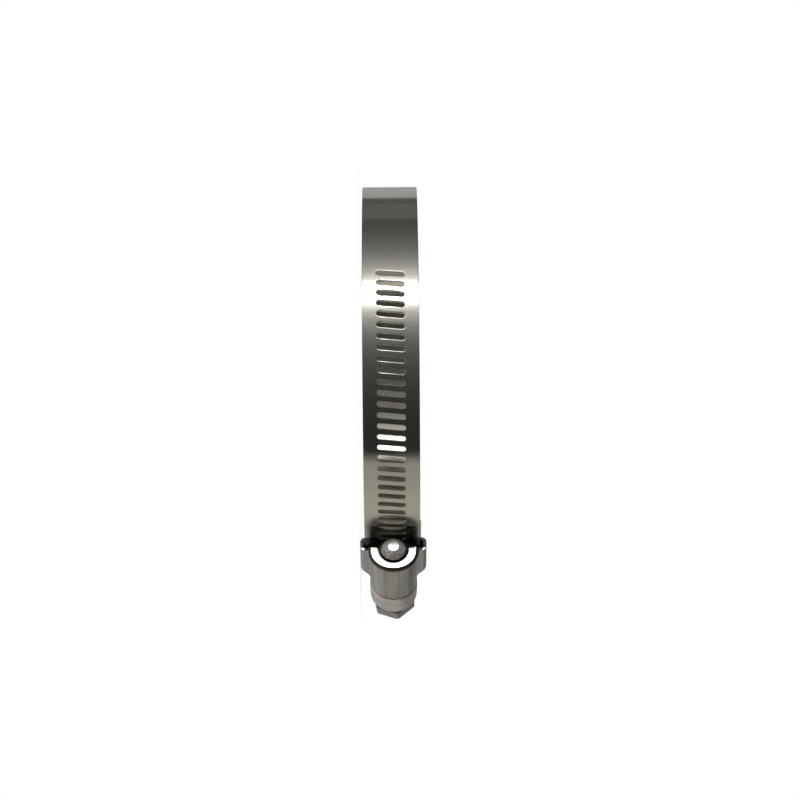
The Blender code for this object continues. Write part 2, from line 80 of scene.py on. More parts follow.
class Grain(Enum):
    """Which way the fine lines of a steel surface run: the pattern's scale along X, Y and Z."""

    ALONG_BAND = (40.0, 40.0, 5200.0)
    ALONG_SCREW = (3600.0, 60.0, 3600.0)
    ROUND_SCREW = (90.0, 4200.0, 90.0)
    NONE = (1500.0, 1500.0, 1500.0)
    SPECKLED = (9000.0, 9000.0, 9000.0)


# Modelling by hand


def release_all() -> None:
    """Deselect every object."""
    bpy.ops.object.select_all(action="DESELECT")


def hold(piece: Object) -> None:
    """Select one object alone and make it the active one.

    Args:
        piece: The object.
    """
    release_all()
    piece.select_set(True)
    bpy.context.view_layer.objects.active = piece


def new_piece(name: str) -> Object:
    """Return a new, empty mesh object at the origin.

    Args:
        name: The object's name.

    Returns:
        The object, held.
    """
    release_all()
    bpy.ops.object.add(type="MESH", location=(0, 0, 0))
    piece = bpy.context.active_object
    piece.name = name
    piece.data.name = name
    return piece


def discard(piece: Object) -> None:
    """Remove an object."""
    bpy.data.objects.remove(piece, do_unlink=True)


@contextmanager
def bench(piece: Object, mode: Pick = Pick.VERT) -> Iterator[None]:
    """Hold an object in edit mode with nothing selected.

    Args:
        piece: The object to work on.
        mode: What selections are made of.

    Yields:
        Nothing.
    """
    hold(piece)
    bpy.ops.object.mode_set(mode="EDIT")
    bpy.ops.mesh.select_mode(type=mode.value)
    bpy.ops.mesh.select_all(action="DESELECT")
    try:
        yield
    finally:
        bpy.ops.object.mode_set(mode="OBJECT")


def choose(piece: Object, mode: Pick, test: Callable[[Vector], bool], middle: bool = False) -> int:
    """Select what lies at a place, in edit mode, and deselect the rest.

    Args:
        piece: The object in edit mode.
        mode: What is selected.
        test: Says whether a place counts.
        middle: True to test the middle of an edge or face, and not each of its corners.

    Returns:
        How many were selected.
    """
    bpy.ops.mesh.select_mode(type=mode.value)
    bpy.ops.mesh.select_all(action="DESELECT")
    mesh = bmesh.from_edit_mesh(piece.data)
    items = {Pick.VERT: mesh.verts, Pick.EDGE: mesh.edges, Pick.FACE: mesh.faces}[mode]
    count = 0
    for item in items:
        places = [item.co] if mode is Pick.VERT else [vert.co for vert in item.verts]
        if middle:
            places = [sum(places, Vector()) / len(places)]
        if all(test(place) for place in places):
            item.select = True
            count += 1
    mesh.select_flush_mode()
    bmesh.update_edit_mesh(piece.data)
    return count


def keep_lengthwise(piece: Object) -> None:
    """Deselect the edges that don't run along Y, in edit mode.

    Args:
        piece: The object in edit mode.
    """
    for edge in bmesh.from_edit_mesh(piece.data).edges:
        edge.select = edge.select and abs(edge.verts[0].co.y - edge.verts[1].co.y) > NEAR
    bmesh.update_edit_mesh(piece.data)


def choose_all() -> None:
    """Select the whole mesh, in edit mode."""
    bpy.ops.mesh.select_all(action="SELECT")


def face_outwards(merge: float = 0.0) -> None:
    """Turn every face outwards, in edit mode.

    Args:
        merge: How near to each other points are merged before that, or 0 to leave them.
    """
    choose_all()
    if merge:
        bpy.ops.mesh.remove_doubles(threshold=merge)
    bpy.ops.mesh.normals_make_consistent(inside=False)


def draw_out(move: Vector | tuple[float, float, float]) -> None:
    """Extrude what is selected by a move, in edit mode."""
    bpy.ops.mesh.extrude_region_move(TRANSFORM_OT_translate={"value": move})


def slice_across(place: Vector, normal: Vector = ALONG_SCREW) -> None:
    """Slice what is selected at the plane with a normal through a place, in edit mode."""
    bpy.ops.mesh.bisect(plane_co=place, plane_no=normal, threshold=NEAR)


def add_block(middle: Vector | tuple[float, float, float], size: tuple[float, float, float]) -> None:
    """Add a block of a size about a middle, in edit mode."""
    bpy.ops.mesh.primitive_cube_add(size=1.0, location=middle, scale=size)


def turn_mesh(piece: Object, degrees: float) -> None:
    """Turn a mesh about the Y axis and leave its object unturned."""
    piece.data.transform(Matrix.Rotation(math.radians(degrees), 4, "Y"))


def finish_modifier(piece: Object, kind: str, **settings: object) -> None:
    """Add one modifier and apply it.

    Args:
        piece: The object.
        kind: The modifier's type.
        **settings: Its values.
    """
    hold(piece)
    step = piece.modifiers.new(kind.lower(), kind)
    for name, value in settings.items():
        setattr(step, name, value)
    bpy.ops.object.modifier_apply(modifier=step.name)


def combine(piece: Object, tool: Object, operation: str) -> None:
    """Apply one exact Boolean and discard its tool.

    Args:
        piece: The object that is changed.
        tool: The object that changes it.
        operation: UNION, DIFFERENCE or INTERSECT.
    """
    finish_modifier(piece, "BOOLEAN", operation=operation, solver="EXACT", object=tool)
    discard(tool)


def smooth(piece: Object) -> None:
    """Shade a finished piece smooth with its sharp edges kept, weighted by face area.

    Args:
        piece: The object.
    """
    with bench(piece):
        face_outwards(NEAR)
    hold(piece)
    bpy.ops.object.shade_smooth_by_angle(angle=math.radians(SOFT_BELOW))
    finish_modifier(piece, "WEIGHTED_NORMAL", keep_sharp=True, weight=50)


def turned(name: str, profile: list[tuple[float, float]], steps: int, rounding: float = 0.0) -> Object:
    """Turn a profile about the Y axis, as on a lathe.

    Args:
        name: The object's name.
        profile: Places along the axis and their radii. It starts and ends on the axis.
        steps: How many steps the turn has.
        rounding: How much each corner of the profile is rounded.

    Returns:
        The turned object.
    """
    piece = new_piece(name)
    here = profile[0]
    with bench(piece):
        bpy.ops.mesh.primitive_plane_add(size=0.001, location=(0, here[0], 0))
        bpy.ops.mesh.merge(type="CENTER")
        for along, radius in profile[1:]:
            draw_out((radius - here[1], along - here[0], 0.0))
            here = (along, radius)
        if rounding:
            choose(piece, Pick.VERT, lambda spot: spot.x > NEAR)
            bpy.ops.mesh.bevel(offset=rounding, segments=3, affect="VERTICES", clamp_overlap=True)
        choose_all()
        bpy.ops.mesh.spin(steps=steps, angle=FULL_TURN, center=(0, 0, 0), axis=ALONG_SCREW)
        face_outwards(NEAR * 2)
    return piece


# Nodes and finishes


class Wiring:
    """Adds nodes to one node tree and joins them."""

    def __init__(self, tree: NodeTree) -> None:
        """Keep the tree that the nodes go into."""
        self.tree = tree

    def feed(self, socket: NodeSocket, value: object) -> None:
        """Join an output to an input, or set the input's own value.

        Args:
            socket: The input.
            value: An output socket, a number or a colour.
        """
        if isinstance(value, NodeSocket):
            self.tree.links.new(value, socket)
        else:
            socket.default_value = value

    def node(self, kind: str, inputs: dict[str | int, object] | None = None, **settings: object) -> Node:
        """Add one node.

        Args:
            kind: Its type, without the words ShaderNode.
            inputs: What its inputs are fed.
            **settings: Its other choices.

        Returns:
            The node.
        """
        node = self.tree.nodes.new("ShaderNode" + kind)
        for name, value in settings.items():
            setattr(node, name, value)
        for name, value in (inputs or {}).items():
            self.feed(node.inputs[name], value)
        return node

    def math(self, operation: str, *values: object) -> NodeSocket:
        """Add one Math node and return its output."""
        return self.node("Math", dict(enumerate(values)), operation=operation).outputs[0]

    def rise(self, value: object, edges: tuple[float, float], *, even: bool = False) -> NodeSocket:
        """Add a rise of a value from 0 to 1.

        Args:
            value: The socket that is tested.
            edges: Where the rise starts and ends.
            even: True for a straight rise and False for a smooth one.

        Returns:
            The rise's output.
        """
        inputs = {"Value": value, "From Min": edges[0], "From Max": edges[1]}
        kind = "LINEAR" if even else "SMOOTHSTEP"
        return self.node("MapRange", inputs, interpolation_type=kind).outputs["Result"]

    def noise(self, place: object, scale: float, detail: float) -> NodeSocket:
        """Add one Noise Texture and return its grey output."""
        return self.node("TexNoise", {"Vector": place, "Scale": scale, "Detail": detail}).outputs["Fac"]

    def mix(self, share: object, first: object, second: object) -> NodeSocket:
        """Add one mix of two colours and return its output."""
        inputs = {"Factor": share, "A": first, "B": second}
        return self.node("Mix", inputs, data_type="RGBA").outputs["Result"]


@dataclass(frozen=True)
class Steel:
    """A procedural steel finish.

    Attributes:
        name: The material's name.
        colour: The steel's colour.
        roughness: The middle roughness.
        spread: How much the roughness varies.
        grain: Which way the fine lines run.
        grain_depth: How deep the fine lines are.
        patches: How strongly the tone varies from place to place.
        streaks: How much of that follows the grain.
        stain: The tint of the darkest patches.
        anisotropy: How much the fine lines round the ring spread a highlight across themselves.
        cloud_scale: The scale of the patches that don't follow the grain.
        streak_scale: The scale of those that do, on top of the grain's own.
        tone_edges: The part of the patches' pattern that takes the tone from its darkest to its lightest.
        rough_edges: The same for the roughness.
    """

    name: str
    colour: tuple[float, float, float]
    roughness: float
    spread: float
    grain: Grain
    grain_depth: float
    patches: float
    streaks: float = 0.3
    stain: tuple[float, float, float] = (1.0, 1.0, 1.0)
    anisotropy: float = 0.0
    cloud_scale: float = 130.0
    streak_scale: float = 0.22
    tone_edges: tuple[float, float] = (0.36, 0.64)
    rough_edges: tuple[float, float] = (0.3, 0.7)

    def material(self) -> Material:
        """Return the finish as a node material.

        Returns:
            The material.
        """
        material = bpy.data.materials.new(self.name)
        material.use_nodes = True
        wiring = Wiring(material.node_tree)
        place = wiring.node("TexCoord").outputs["Object"]
        stretch = wiring.node("Mapping", {"Vector": place, "Scale": self.grain.value}).outputs["Vector"]
        lines = wiring.noise(stretch, 1.0, 3.0)
        cloud = wiring.noise(place, self.cloud_scale, 4.0)
        wide = wiring.noise(stretch, self.streak_scale, 2.0)

        plain = wiring.math("MULTIPLY", cloud, 1.0 - self.streaks)
        patchy = wiring.math("MULTIPLY_ADD", wide, self.streaks, plain)
        low = (part * (1.0 - self.patches) * tint for part, tint in zip(self.colour, self.stain))
        high = (min(1.0, part * (1.0 + self.patches)) for part in self.colour)
        tone = wiring.mix(wiring.rise(patchy, self.tone_edges, even=True), (*low, 1.0), (*high, 1.0))

        uneven = wiring.math("MULTIPLY_ADD", lines, 0.5, wiring.math("MULTIPLY", cloud, 0.5))
        share = wiring.rise(uneven, self.rough_edges, even=True)
        rough = wiring.math("MULTIPLY_ADD", share, self.spread * 2, self.roughness - self.spread)

        bump = wiring.node("Bump", {"Strength": 1.0, "Distance": self.grain_depth, "Height": lines})
        inputs = {"Metallic": 1.0, "Base Color": tone, "Roughness": rough, "Normal": bump.outputs["Normal"]}
        if self.anisotropy:
            heading = wiring.node("Tangent", direction_type="RADIAL", axis="Z").outputs["Tangent"]
            inputs |= {"Anisotropic": self.anisotropy, "Anisotropic Rotation": 0.25, "Tangent": heading}
        for name, value in inputs.items():
            wiring.feed(material.node_tree.nodes["Principled BSDF"].inputs[name], value)
        return material


POLISHED = Steel(
    "polished_strip", (0.655, 0.635, 0.565), 0.19, 0.015, Grain.ALONG_BAND, 8e-7, 0.04, anisotropy=0.95
)
FORMED = Steel(
    "formed_sheet", (0.57, 0.548, 0.53), 0.30, 0.06, Grain.ALONG_SCREW, 5e-6, 0.22, 0.8, (1.0, 0.97, 0.90)
)
# Painted highlight: a near-white steel, brighter than the sheet, so that the flat front wall and the screw's
# tip end look as bright as the light they catch.
WALL_AND_TIP_HIGHLIGHT = Steel("wall_and_tip_painted_highlight", (0.93, 0.92, 0.89), 0.27, 0.04, Grain.NONE, 2e-6, 0.05)
# Painted shade: a brownish dark on the fold behind the front wall, which stands in for the fold's dark
# reflection.
FOLD_SHADE = Steel("fold_painted_shade", (0.15, 0.12, 0.095), 0.34, 0.05, Grain.NONE, 3e-6, 0.25)
# Painted reflection: a lighter, pinkish copy of the sheet on the collar behind the dome, which stands in for
# the pale surroundings it reflects.
COLLAR_REFLECTION = Steel(
    "rolled_collar_painted_reflection", (0.88, 0.795, 0.81), 0.32, 0.05, Grain.ROUND_SCREW, 3e-6, 0.18, 0.6, (0.95, 0.96, 0.88)
)
# Painted shade: a dark steel in the groove behind the dome, where shade falls.
GROOVE_SHADE = Steel("groove_painted_shade", (0.17, 0.15, 0.14), 0.45, 0.05, Grain.NONE, 3e-6, 0.3)
# Painted shade: a near-black steel on the sheet's forward-facing cut edges below the feet, which lie in
# shade in front of the ears.
SHEARED_EDGE_SHADE = Steel("sheared_edge_painted_shade", (0.11, 0.10, 0.09), 0.52, 0.08, Grain.SPECKLED, 3e-6, 0.6, 0.6)
# Painted shade: a dark steel inside the housing, on the worm's thread, on the band under the worm and on the
# head just behind the collar, where shade falls.
INSIDE_SHADE = Steel("inside_painted_shade", (0.13, 0.12, 0.11), 0.38, 0.06, Grain.NONE, 3e-6, 0.2)
TURNED = Steel("turned_bar", (0.50, 0.49, 0.48), 0.36, 0.07, Grain.ROUND_SCREW, 3e-6, 0.38, 0.6)
# Painted highlight: a near-white steel on the tip's cone, which stands in for the light it catches.
FACED_HIGHLIGHT = Steel(
    "faced_tip_painted_highlight", (0.98, 0.93, 0.92), 0.72, 0.06, Grain.SPECKLED, 3e-6, 0.45, 0.75, (1.0, 0.94, 0.84)
)


def paint(
    piece: Object,
    finishes: tuple[Steel, ...],
    finish_of: Callable[[MeshPolygon], Steel | None],
) -> None:
    """Give each face of a piece its finish.

    Args:
        piece: The finished piece.
        finishes: All its finishes, in the order of its material slots.
        finish_of: Says which finish a face has, or None to leave the face as it is.
    """
    for finish in finishes[len(piece.data.materials) :]:
        piece.data.materials.append(finish.material())
    for face in piece.data.polygons:
        finish = finish_of(face)
        if finish:
            face.material_index = finishes.index(finish)


# The clamp's pieces


@dataclass
class ClampSizes:
    """The sizes that the band, the housing and the screw share.

    Attributes:
        screw_axis: A point on the screw's axis, in the plane of the housing's front wall.
        band_width: The strip's width.
        band_thickness: The strip's thickness.
        ring_radius: The radius of the ring's outer face.
        axis_height: How far the screw's axis lies above the band's outer face.
        side_play: How far the housing sits to one side of the returning end.
        slot_pitch: The pitch of the slots and of the worm.
        layer_gap: The gap between two layers of the band.
        flat: The length of the flat under the screw.
    """

    screw_axis: Vector
    band_width: float = 0.0159
    band_thickness: float = 0.0008
    ring_radius: float = 0.0551
    axis_height: float = 0.0048
    side_play: float = 0.0003
    slot_pitch: float = 0.003175
    layer_gap: float = 0.0003
    flat: float = 0.0172

    @property
    def ring_centre(self) -> Vector:
        """The middle of the ring."""
        return self.screw_axis - Vector((self.ring_radius + self.axis_height, 0.0, self.side_play))

    @property
    def layer_step(self) -> float:
        """How far apart two layers of the band lie."""
        return self.band_thickness + self.layer_gap


@dataclass
class Band:
    """The rolled and punched strip.

    Attributes:
        sizes: The shared sizes.
        slot_length: A slot's length.
        slot_width: A slot's width.
        slant: A slot's slant.
        heel_radius: The radius of the bend behind the flat.
        seen_slots: How many slots lie before the flat.
        first_before_flat: How far the nearest of them lies before the flat.
        tail: The length of the punched end beyond the flat's start.
        tail_plain: How much of it has no slots.
        tail_cover: How far the strip stays one layer down behind the punched end.
        rise_end: Where along the loop it has come out to the outer layer, as a share.
        play_end: Where along the loop the side play has run out, as a share.
        lead: How far the fixed end stands out before the flat.
        corner: The radius of the strip's corners.
        notch: Where the edge notches of the fixed end lie, their length and their depth.
        rim: The rounding of every punched and slit edge.
        slice_step: How far apart the strip is sliced before it is rolled.
        trail_step: How far apart the points of its path lie.
        punch_reach: How far a punch or a notcher reaches through the strip.
        shaded_span: Between which places along the screw the strip is painted dark as shade under the worm.
        trail: The path of the strip's outer face.
        lengths: The path's length so far at each of its points.
    """

    sizes: ClampSizes
    slot_length: float = 0.0080
    slot_width: float = 0.0015
    slant: float = 5.61
    heel_radius: float = 0.019
    seen_slots: int = 25
    first_before_flat: float = 0.0078
    tail: float = 0.046
    tail_plain: float = 0.007
    tail_cover: float = 0.012
    rise_end: float = 0.52
    play_end: float = 0.5
    lead: float = 0.0070
    corner: float = 0.0028
    notch: tuple[float, float, float] = (0.0128, 0.0030, 0.0013)
    rim: float = 0.00018
    slice_step: float = 0.0006
    trail_step: float = 0.0004
    punch_reach: float = 0.004
    shaded_span: tuple[float, float] = (0.0016, 0.0172)
    trail: list[Vector] = field(default_factory=list)
    lengths: list[float] = field(default_factory=list)

    def heel_angle(self) -> float:
        """Return how far the heel turns, in radians."""
        return 2 * math.atan(self.sizes.flat / (self.sizes.ring_radius - self.heel_radius))

    def loop_length(self) -> float:
        """Return the length of one turn of the base path."""
        turn = self.heel_angle()
        return 2 * self.sizes.flat + self.heel_radius * turn + self.sizes.ring_radius * (FULL_TURN - turn)

    def base_point(self, distance: float, lift: float) -> Vector:
        """Return a point of the band's path about the ring's centre.

        Args:
            distance: How far along the base path it lies.
            lift: How far outside the base path it lies.

        Returns:
            The point, with the ring's centre as the origin.
        """
        flat, ring, heel = self.sizes.flat, self.sizes.ring_radius, self.heel_radius
        turn = self.heel_angle()
        d = distance % self.loop_length()
        if d <= flat:
            base, heading = Vector((ring, d, 0)), 0.0
        elif d <= flat + heel * turn:
            heading = (d - flat) / heel
            base = Vector((ring - heel, flat, 0)) + heel * Vector((math.cos(heading), math.sin(heading), 0))
        elif d <= 2 * flat + heel * turn:
            heading = turn
            back = 2 * flat + heel * turn - d
            base = ring * Vector((math.cos(turn), math.sin(turn), 0))
            base += back * Vector((math.sin(turn), -math.cos(turn), 0))
        else:
            heading = turn + (d - 2 * flat - heel * turn) / ring
            base = ring * Vector((math.cos(heading), math.sin(heading), 0))
        return base + lift * Vector((math.cos(heading), math.sin(heading), 0))

    @staticmethod
    def fall(place: float, start: float, end: float) -> float:
        """Return 1 before a start, 0 after an end and a smooth fall between them."""
        share = min(max((place - start) / (end - start), 0.0), 1.0)
        return 1.0 - share * share * (3.0 - 2.0 * share)

    def lay_trail(self) -> None:
        """Work out the path of the strip's outer face, and its length so far at each point."""
        loop = self.loop_length()
        total = self.lead + loop + self.tail
        count = int(total / self.trail_step)
        for k in range(count + 1):
            s = -self.lead + total * k / count
            lift = -self.sizes.layer_step * self.fall(s, self.tail + self.tail_cover, loop * self.rise_end)
            aside = self.sizes.side_play * self.fall(s, 0.0, loop * self.play_end)
            spot = self.base_point(s, lift) + Vector((0, 0, aside)) + self.sizes.ring_centre
            self.lengths.append(self.lengths[-1] + (spot - self.trail[-1]).length if self.trail else 0.0)
            self.trail.append(spot)

    def along(self, s: float) -> float:
        """Return the true length along the strip up to a place on the base path.

        Args:
            s: How far along the base path the place lies.

        Returns:
            The length from the fixed end.
        """
        share = (s + self.lead) / (self.lead + self.loop_length() + self.tail) * (len(self.lengths) - 1)
        low = min(max(int(share), 0), len(self.lengths) - 2)
        return self.lengths[low] + (self.lengths[low + 1] - self.lengths[low]) * (share - low)

    def blank(self) -> Object:
        """Cut the flat strip with its rounded corners.

        Returns:
            The strip, with its length along X, its width along Z and its outer face at Y 0.
        """
        piece = new_piece("band_steel")
        length, deep = self.lengths[-1], self.sizes.band_thickness
        with bench(piece, Pick.EDGE):
            add_block((length / 2, deep / 2, 0.0), (length, deep, self.sizes.band_width))
            keep_lengthwise(piece)
            bpy.ops.mesh.bevel(offset=self.corner, segments=10, affect="EDGES")
        return piece

    def slot_tool(self, first: float, count: int) -> Object:
        """Make the punch for one slot and copy it along the strip.

        Args:
            first: Where the first slot's middle lies along the strip.
            count: How many slots there are.

        Returns:
            The row of punches.
        """
        tool = new_piece("punch")
        nearly_half = self.slot_width / 2 * 0.999
        with bench(tool):
            bpy.ops.mesh.primitive_plane_add(size=1.0, location=(0, 0, 0), rotation=(QUARTER_TURN, 0, 0))
            bpy.ops.transform.resize(value=(self.slot_width, 1.0, self.slot_length))
            bpy.ops.mesh.bevel(offset=nearly_half, segments=8, affect="VERTICES", clamp_overlap=False)
            choose_all()
            draw_out((0, self.punch_reach, 0))
            choose_all()
            bpy.ops.transform.translate(value=(0, -self.punch_reach * 0.4, 0))
            face_outwards()
        turn_mesh(tool, self.slant)
        tool.data.transform(Matrix.Translation((first, 0, 0)))
        finish_modifier(
            tool,
            "ARRAY",
            count=count,
            use_relative_offset=False,
            use_constant_offset=True,
            constant_offset_displace=(self.sizes.slot_pitch, 0, 0),
        )
        return tool

    def notch_tool(self) -> Object:
        """Make the tool that cuts the two edge notches of the fixed end.

        Returns:
            The tool.
        """
        middle, length, depth = self.notch
        tool = new_piece("notcher")
        with bench(tool):
            for edge in (self.sizes.band_width / 2, -self.sizes.band_width / 2):
                place = (self.along(middle), self.sizes.band_thickness / 2, edge)
                add_block(place, (length, self.punch_reach, depth * 2))
        return tool

    def slot_row(self) -> tuple[float, int]:
        """Work out the row of slots.

        Returns:
            Where the first slot's middle lies along the base path, and how many slots there are.
        """
        pitch = self.sizes.slot_pitch
        first = self.loop_length() - self.first_before_flat - (self.seen_slots - 1) * pitch
        count = int((self.loop_length() + self.tail - self.tail_plain - first) / pitch) + 1
        return first, count

    def first_thread_place(self) -> float:
        """Return a place along the screw where a slot's middle lies under the worm."""
        first, count = self.slot_row()
        return first + (count - 1) * self.sizes.slot_pitch - self.loop_length()

    def roll(self, piece: Object) -> None:
        """Bend the flat strip along its path.

        Args:
            piece: The flat strip.
        """
        curve = bpy.data.curves.new("band_path", "CURVE")
        curve.dimensions = "3D"
        curve.twist_mode = "Z_UP"
        spline = curve.splines.new("POLY")
        spline.points.add(len(self.trail) - 1)
        for point, spot in zip(spline.points, self.trail):
            point.co = (*spot, 1.0)
        path = bpy.data.objects.new("band_path", curve)
        bpy.context.scene.collection.objects.link(path)
        finish_modifier(piece, "CURVE", object=path, deform_axis="POS_X")
        discard(path)

    def build(self) -> Object:
        """Cut, punch, ease, slice and roll the strip.

        Returns:
            The finished band.
        """
        self.lay_trail()
        first, count = self.slot_row()
        piece = self.blank()
        combine(piece, self.slot_tool(self.along(first), count), "DIFFERENCE")
        combine(piece, self.notch_tool(), "DIFFERENCE")
        with bench(piece, Pick.EDGE):
            bpy.ops.mesh.edges_select_sharp(sharpness=math.radians(60))
            bpy.ops.mesh.bevel(offset=self.rim, segments=2, affect="EDGES", clamp_overlap=False)
            bpy.ops.mesh.select_mode(type="VERT")
            cuts = int(self.lengths[-1] / self.slice_step)
            for k in range(1, cuts):
                choose_all()
                slice_across(Vector((self.lengths[-1] * k / cuts, 0, 0)), Vector((1, 0, 0)))
        self.roll(piece)
        smooth(piece)
        return piece

    def dress(self, piece: Object) -> None:
        """Finish the band and hang it on the clamp.

        Args:
            piece: The finished band.
        """
        axis = self.sizes.screw_axis
        outer = axis.x - self.sizes.axis_height

        def finish_of(face: MeshPolygon) -> Steel:
            """Return a face's finish: painted shade where it faces the worm inside the housing."""
            inside = self.shaded_span[0] < face.center.y - axis.y < self.shaded_span[1]
            on_top = face.normal.x > LOOKS and face.center.x > outer - self.rim
            return INSIDE_SHADE if inside and on_top else POLISHED

        paint(piece, (POLISHED, INSIDE_SHADE), finish_of)
        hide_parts("band")
        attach(piece, "clamp")


@dataclass
class Housing:
    """The formed sheet round the worm.

    Attributes:
        sizes: The shared sizes.
        sheet: The sheet's thickness.
        dome_radius: The radius of the dome's middle surface.
        front_bend: The radius of the fold between dome and front wall.
        front_flare: How much wider the dome is at its front, on each side.
        flare_rows: How many rows the dome is sliced into, to follow that.
        bend: The radius of the other folds.
        shoulder: The height of the shoulders' middle surface above the band's outer face.
        hem: The height of the hems' middle surface.
        ear_half_span: How far each ear's middle surface lies from the screw's plane.
        hem_end: How far each hem's end lies from it.
        ear_start: Where the ears start along the screw.
        ear_end: Where they end.
        rear_slant: How much further back the shoulders reach at the dome.
        dome_length: The dome's length.
        neck_length: The neck's length behind it.
        neck_rows: Share of the neck's length, and how far its sheet lies inside the dome.
        opening: The radius of the front wall's opening.
        foot: How far the front wall reaches below the screw's axis.
        foot_rounding: The rounding of the front wall's feet.
        foot_shares: The shares of the foot's depth at which its outline has a point.
        nib: Where a nib lies along the screw, its length and how far it reaches into the notch.
        ease: The rounding of the sheet's edges.
        fold_shade_end: Where the painted shade on the front fold, a brownish dark that stands in for the
            fold's dark reflection, ends along the screw.
        groove_start: The share of the neck's length where the painted shade in the groove starts.
        collar_start: The share where the collar starts.
        corner_share: The part of a fold, up and out, at the ear corners that is left out of the painted
            shade on the cut edges, where light catches it.
    """

    sizes: ClampSizes
    sheet: float = 0.0009
    dome_radius: float = 0.00625
    front_bend: float = 0.0005
    front_flare: float = 0.0005
    flare_rows: int = 8
    bend: float = 0.0010
    shoulder: float = 0.00075
    hem: float = -0.00265
    ear_half_span: float = 0.0091
    hem_end: float = 0.00425
    ear_start: float = 0.0070
    ear_end: float = 0.0186
    rear_slant: float = 0.0039
    dome_length: float = 0.0170
    neck_length: float = 0.0080
    neck_rows: tuple[tuple[float, float], ...] = (
        (0.0, 0.0),
        (0.03, 0.00010),
        (0.06, 0.00022),
        (0.11, 0.00026),
        (0.16, 0.00020),
        (0.20, 0.00008),
        (0.24, -0.00002),
        (0.30, -0.00008),
        (0.38, -0.00010),
        (0.86, -0.00010),
        (1.0, -0.00005),
    )
    opening: float = 0.0044
    foot: float = 0.0009
    foot_rounding: float = 0.0009
    foot_shares: tuple[float, ...] = (0.45, 0.8, 1.0)
    nib: tuple[float, float, float] = (0.0128, 0.0024, 0.0010)
    ease: float = 0.00012
    fold_shade_end: float = 0.00125
    groove_start: float = 0.06
    collar_start: float = 0.16
    corner_share: tuple[float, float] = (0.6, 0.8)

    @property
    def finishes(self) -> tuple[Steel, ...]:
        """The housing's finishes, with its outside first and its inside next."""
        return (FORMED, INSIDE_SHADE, WALL_AND_TIP_HIGHLIGHT, FOLD_SHADE, COLLAR_REFLECTION, GROOVE_SHADE, SHEARED_EDGE_SHADE)

    @property
    def folds(self) -> list[tuple[float, float]]:
        """The height of each long fold, and how far out it lies."""
        shoulder = [(self.shoulder, self.dome_radius), (self.shoulder, self.ear_half_span)]
        return [*shoulder, (self.hem, self.ear_half_span)]

    @property
    def foot_height(self) -> float:
        """The height of the front wall's feet above the band's outer face."""
        return self.sizes.axis_height - self.foot

    @property
    def fold_end(self) -> float:
        """Where the fold behind the front wall ends along the screw."""
        return self.sheet / 2 + self.front_bend

    def at(self, height: float, along: float, aside: float) -> Vector:
        """Return the place at a height above the band, a distance along the screw and to one side."""
        axis = self.sizes.screw_axis
        return Vector((axis.x - self.sizes.axis_height + height, axis.y + along, axis.z + aside))

    def height_of(self, spot: Vector) -> float:
        """Return a place's height above the band's outer face."""
        return spot.x - self.sizes.screw_axis.x + self.sizes.axis_height

    def along_of(self, spot: Vector) -> float:
        """Return a place's distance along the screw."""
        return spot.y - self.sizes.screw_axis.y

    def aside_of(self, spot: Vector) -> float:
        """Return how far a place lies to one side of the screw's plane."""
        return spot.z - self.sizes.screw_axis.z

    def out_of(self, spot: Vector) -> float:
        """Return how far out from the screw's axis a place lies, or from its plane below the axis."""
        return Vector((max(spot.x - self.sizes.screw_axis.x, 0.0), 0, self.aside_of(spot))).length

    def draw_arch(self, piece: Object, radius: float, leg: list[tuple[float, float]]) -> None:
        """Draw a half circle over the screw in the front wall's plane, and a leg on from each end.

        Args:
            piece: The object in edit mode.
            radius: The half circle's radius.
            leg: The height of each corner of a leg, and how far out it lies.
        """
        height, front = self.sizes.axis_height, self.sheet / 2
        middle = self.at(height, front, 0)
        bpy.ops.mesh.primitive_circle_add(
            vertices=ARC_STEPS, radius=radius, location=middle, rotation=(QUARTER_TURN, 0, 0)
        )
        choose(piece, Pick.VERT, lambda spot: spot.x < middle.x - NEAR * 5)
        bpy.ops.mesh.delete(type="VERT")
        for side in (1, -1):
            here = self.at(height, front, side * radius)
            choose(piece, Pick.VERT, lambda spot: (spot - here).length < NEAR * 5)
            for high, out in leg:
                corner = self.at(high, front, side * out)
                draw_out(corner - here)
                here = corner

    def section(self, piece: Object) -> None:
        """Draw the sheet's section: a half circle with a foot, a shoulder, an ear and a hem on each side.

        Args:
            piece: The object in edit mode.
        """
        foot = [(self.sizes.axis_height - self.foot * share, self.dome_radius) for share in self.foot_shares]
        self.draw_arch(piece, self.dome_radius, [*foot, *self.folds, (self.hem, self.hem_end)])

    def front_wall(self, piece: Object) -> None:
        """Draw the opening's outline, span the wall between it and the dome, and fold the corner.

        Args:
            piece: The housing's open sheet.
        """
        inner = new_piece("opening_outline")
        leg = []
        for share in self.foot_shares:
            rounded = self.foot_rounding * (1 - math.sqrt(1 - share * share))
            leg.append((self.sizes.axis_height - self.foot * share, self.opening + rounded))
        with bench(inner):
            self.draw_arch(inner, self.opening, leg)
        hold(piece)
        inner.select_set(True)
        bpy.ops.object.join()
        lowest, rim = self.foot_height - NEAR * 5, self.dome_radius - NEAR * 20

        def in_wall(spot: Vector) -> bool:
            """Say whether a place lies in the front wall's plane above its feet."""
            return abs(self.along_of(spot) - self.sheet / 2) < NEAR and self.height_of(spot) > lowest

        with bench(piece, Pick.EDGE):
            choose(piece, Pick.EDGE, in_wall)
            bpy.ops.mesh.bridge_edge_loops()
            choose(piece, Pick.EDGE, lambda spot: in_wall(spot) and self.out_of(spot) > rim)
            bpy.ops.mesh.bevel(offset=self.front_bend, segments=6, affect="EDGES")

    def fold_sides(self, piece: Object) -> None:
        """Round the three long folds on each side.

        Args:
            piece: The housing's open sheet.
        """
        close = NEAR * 5

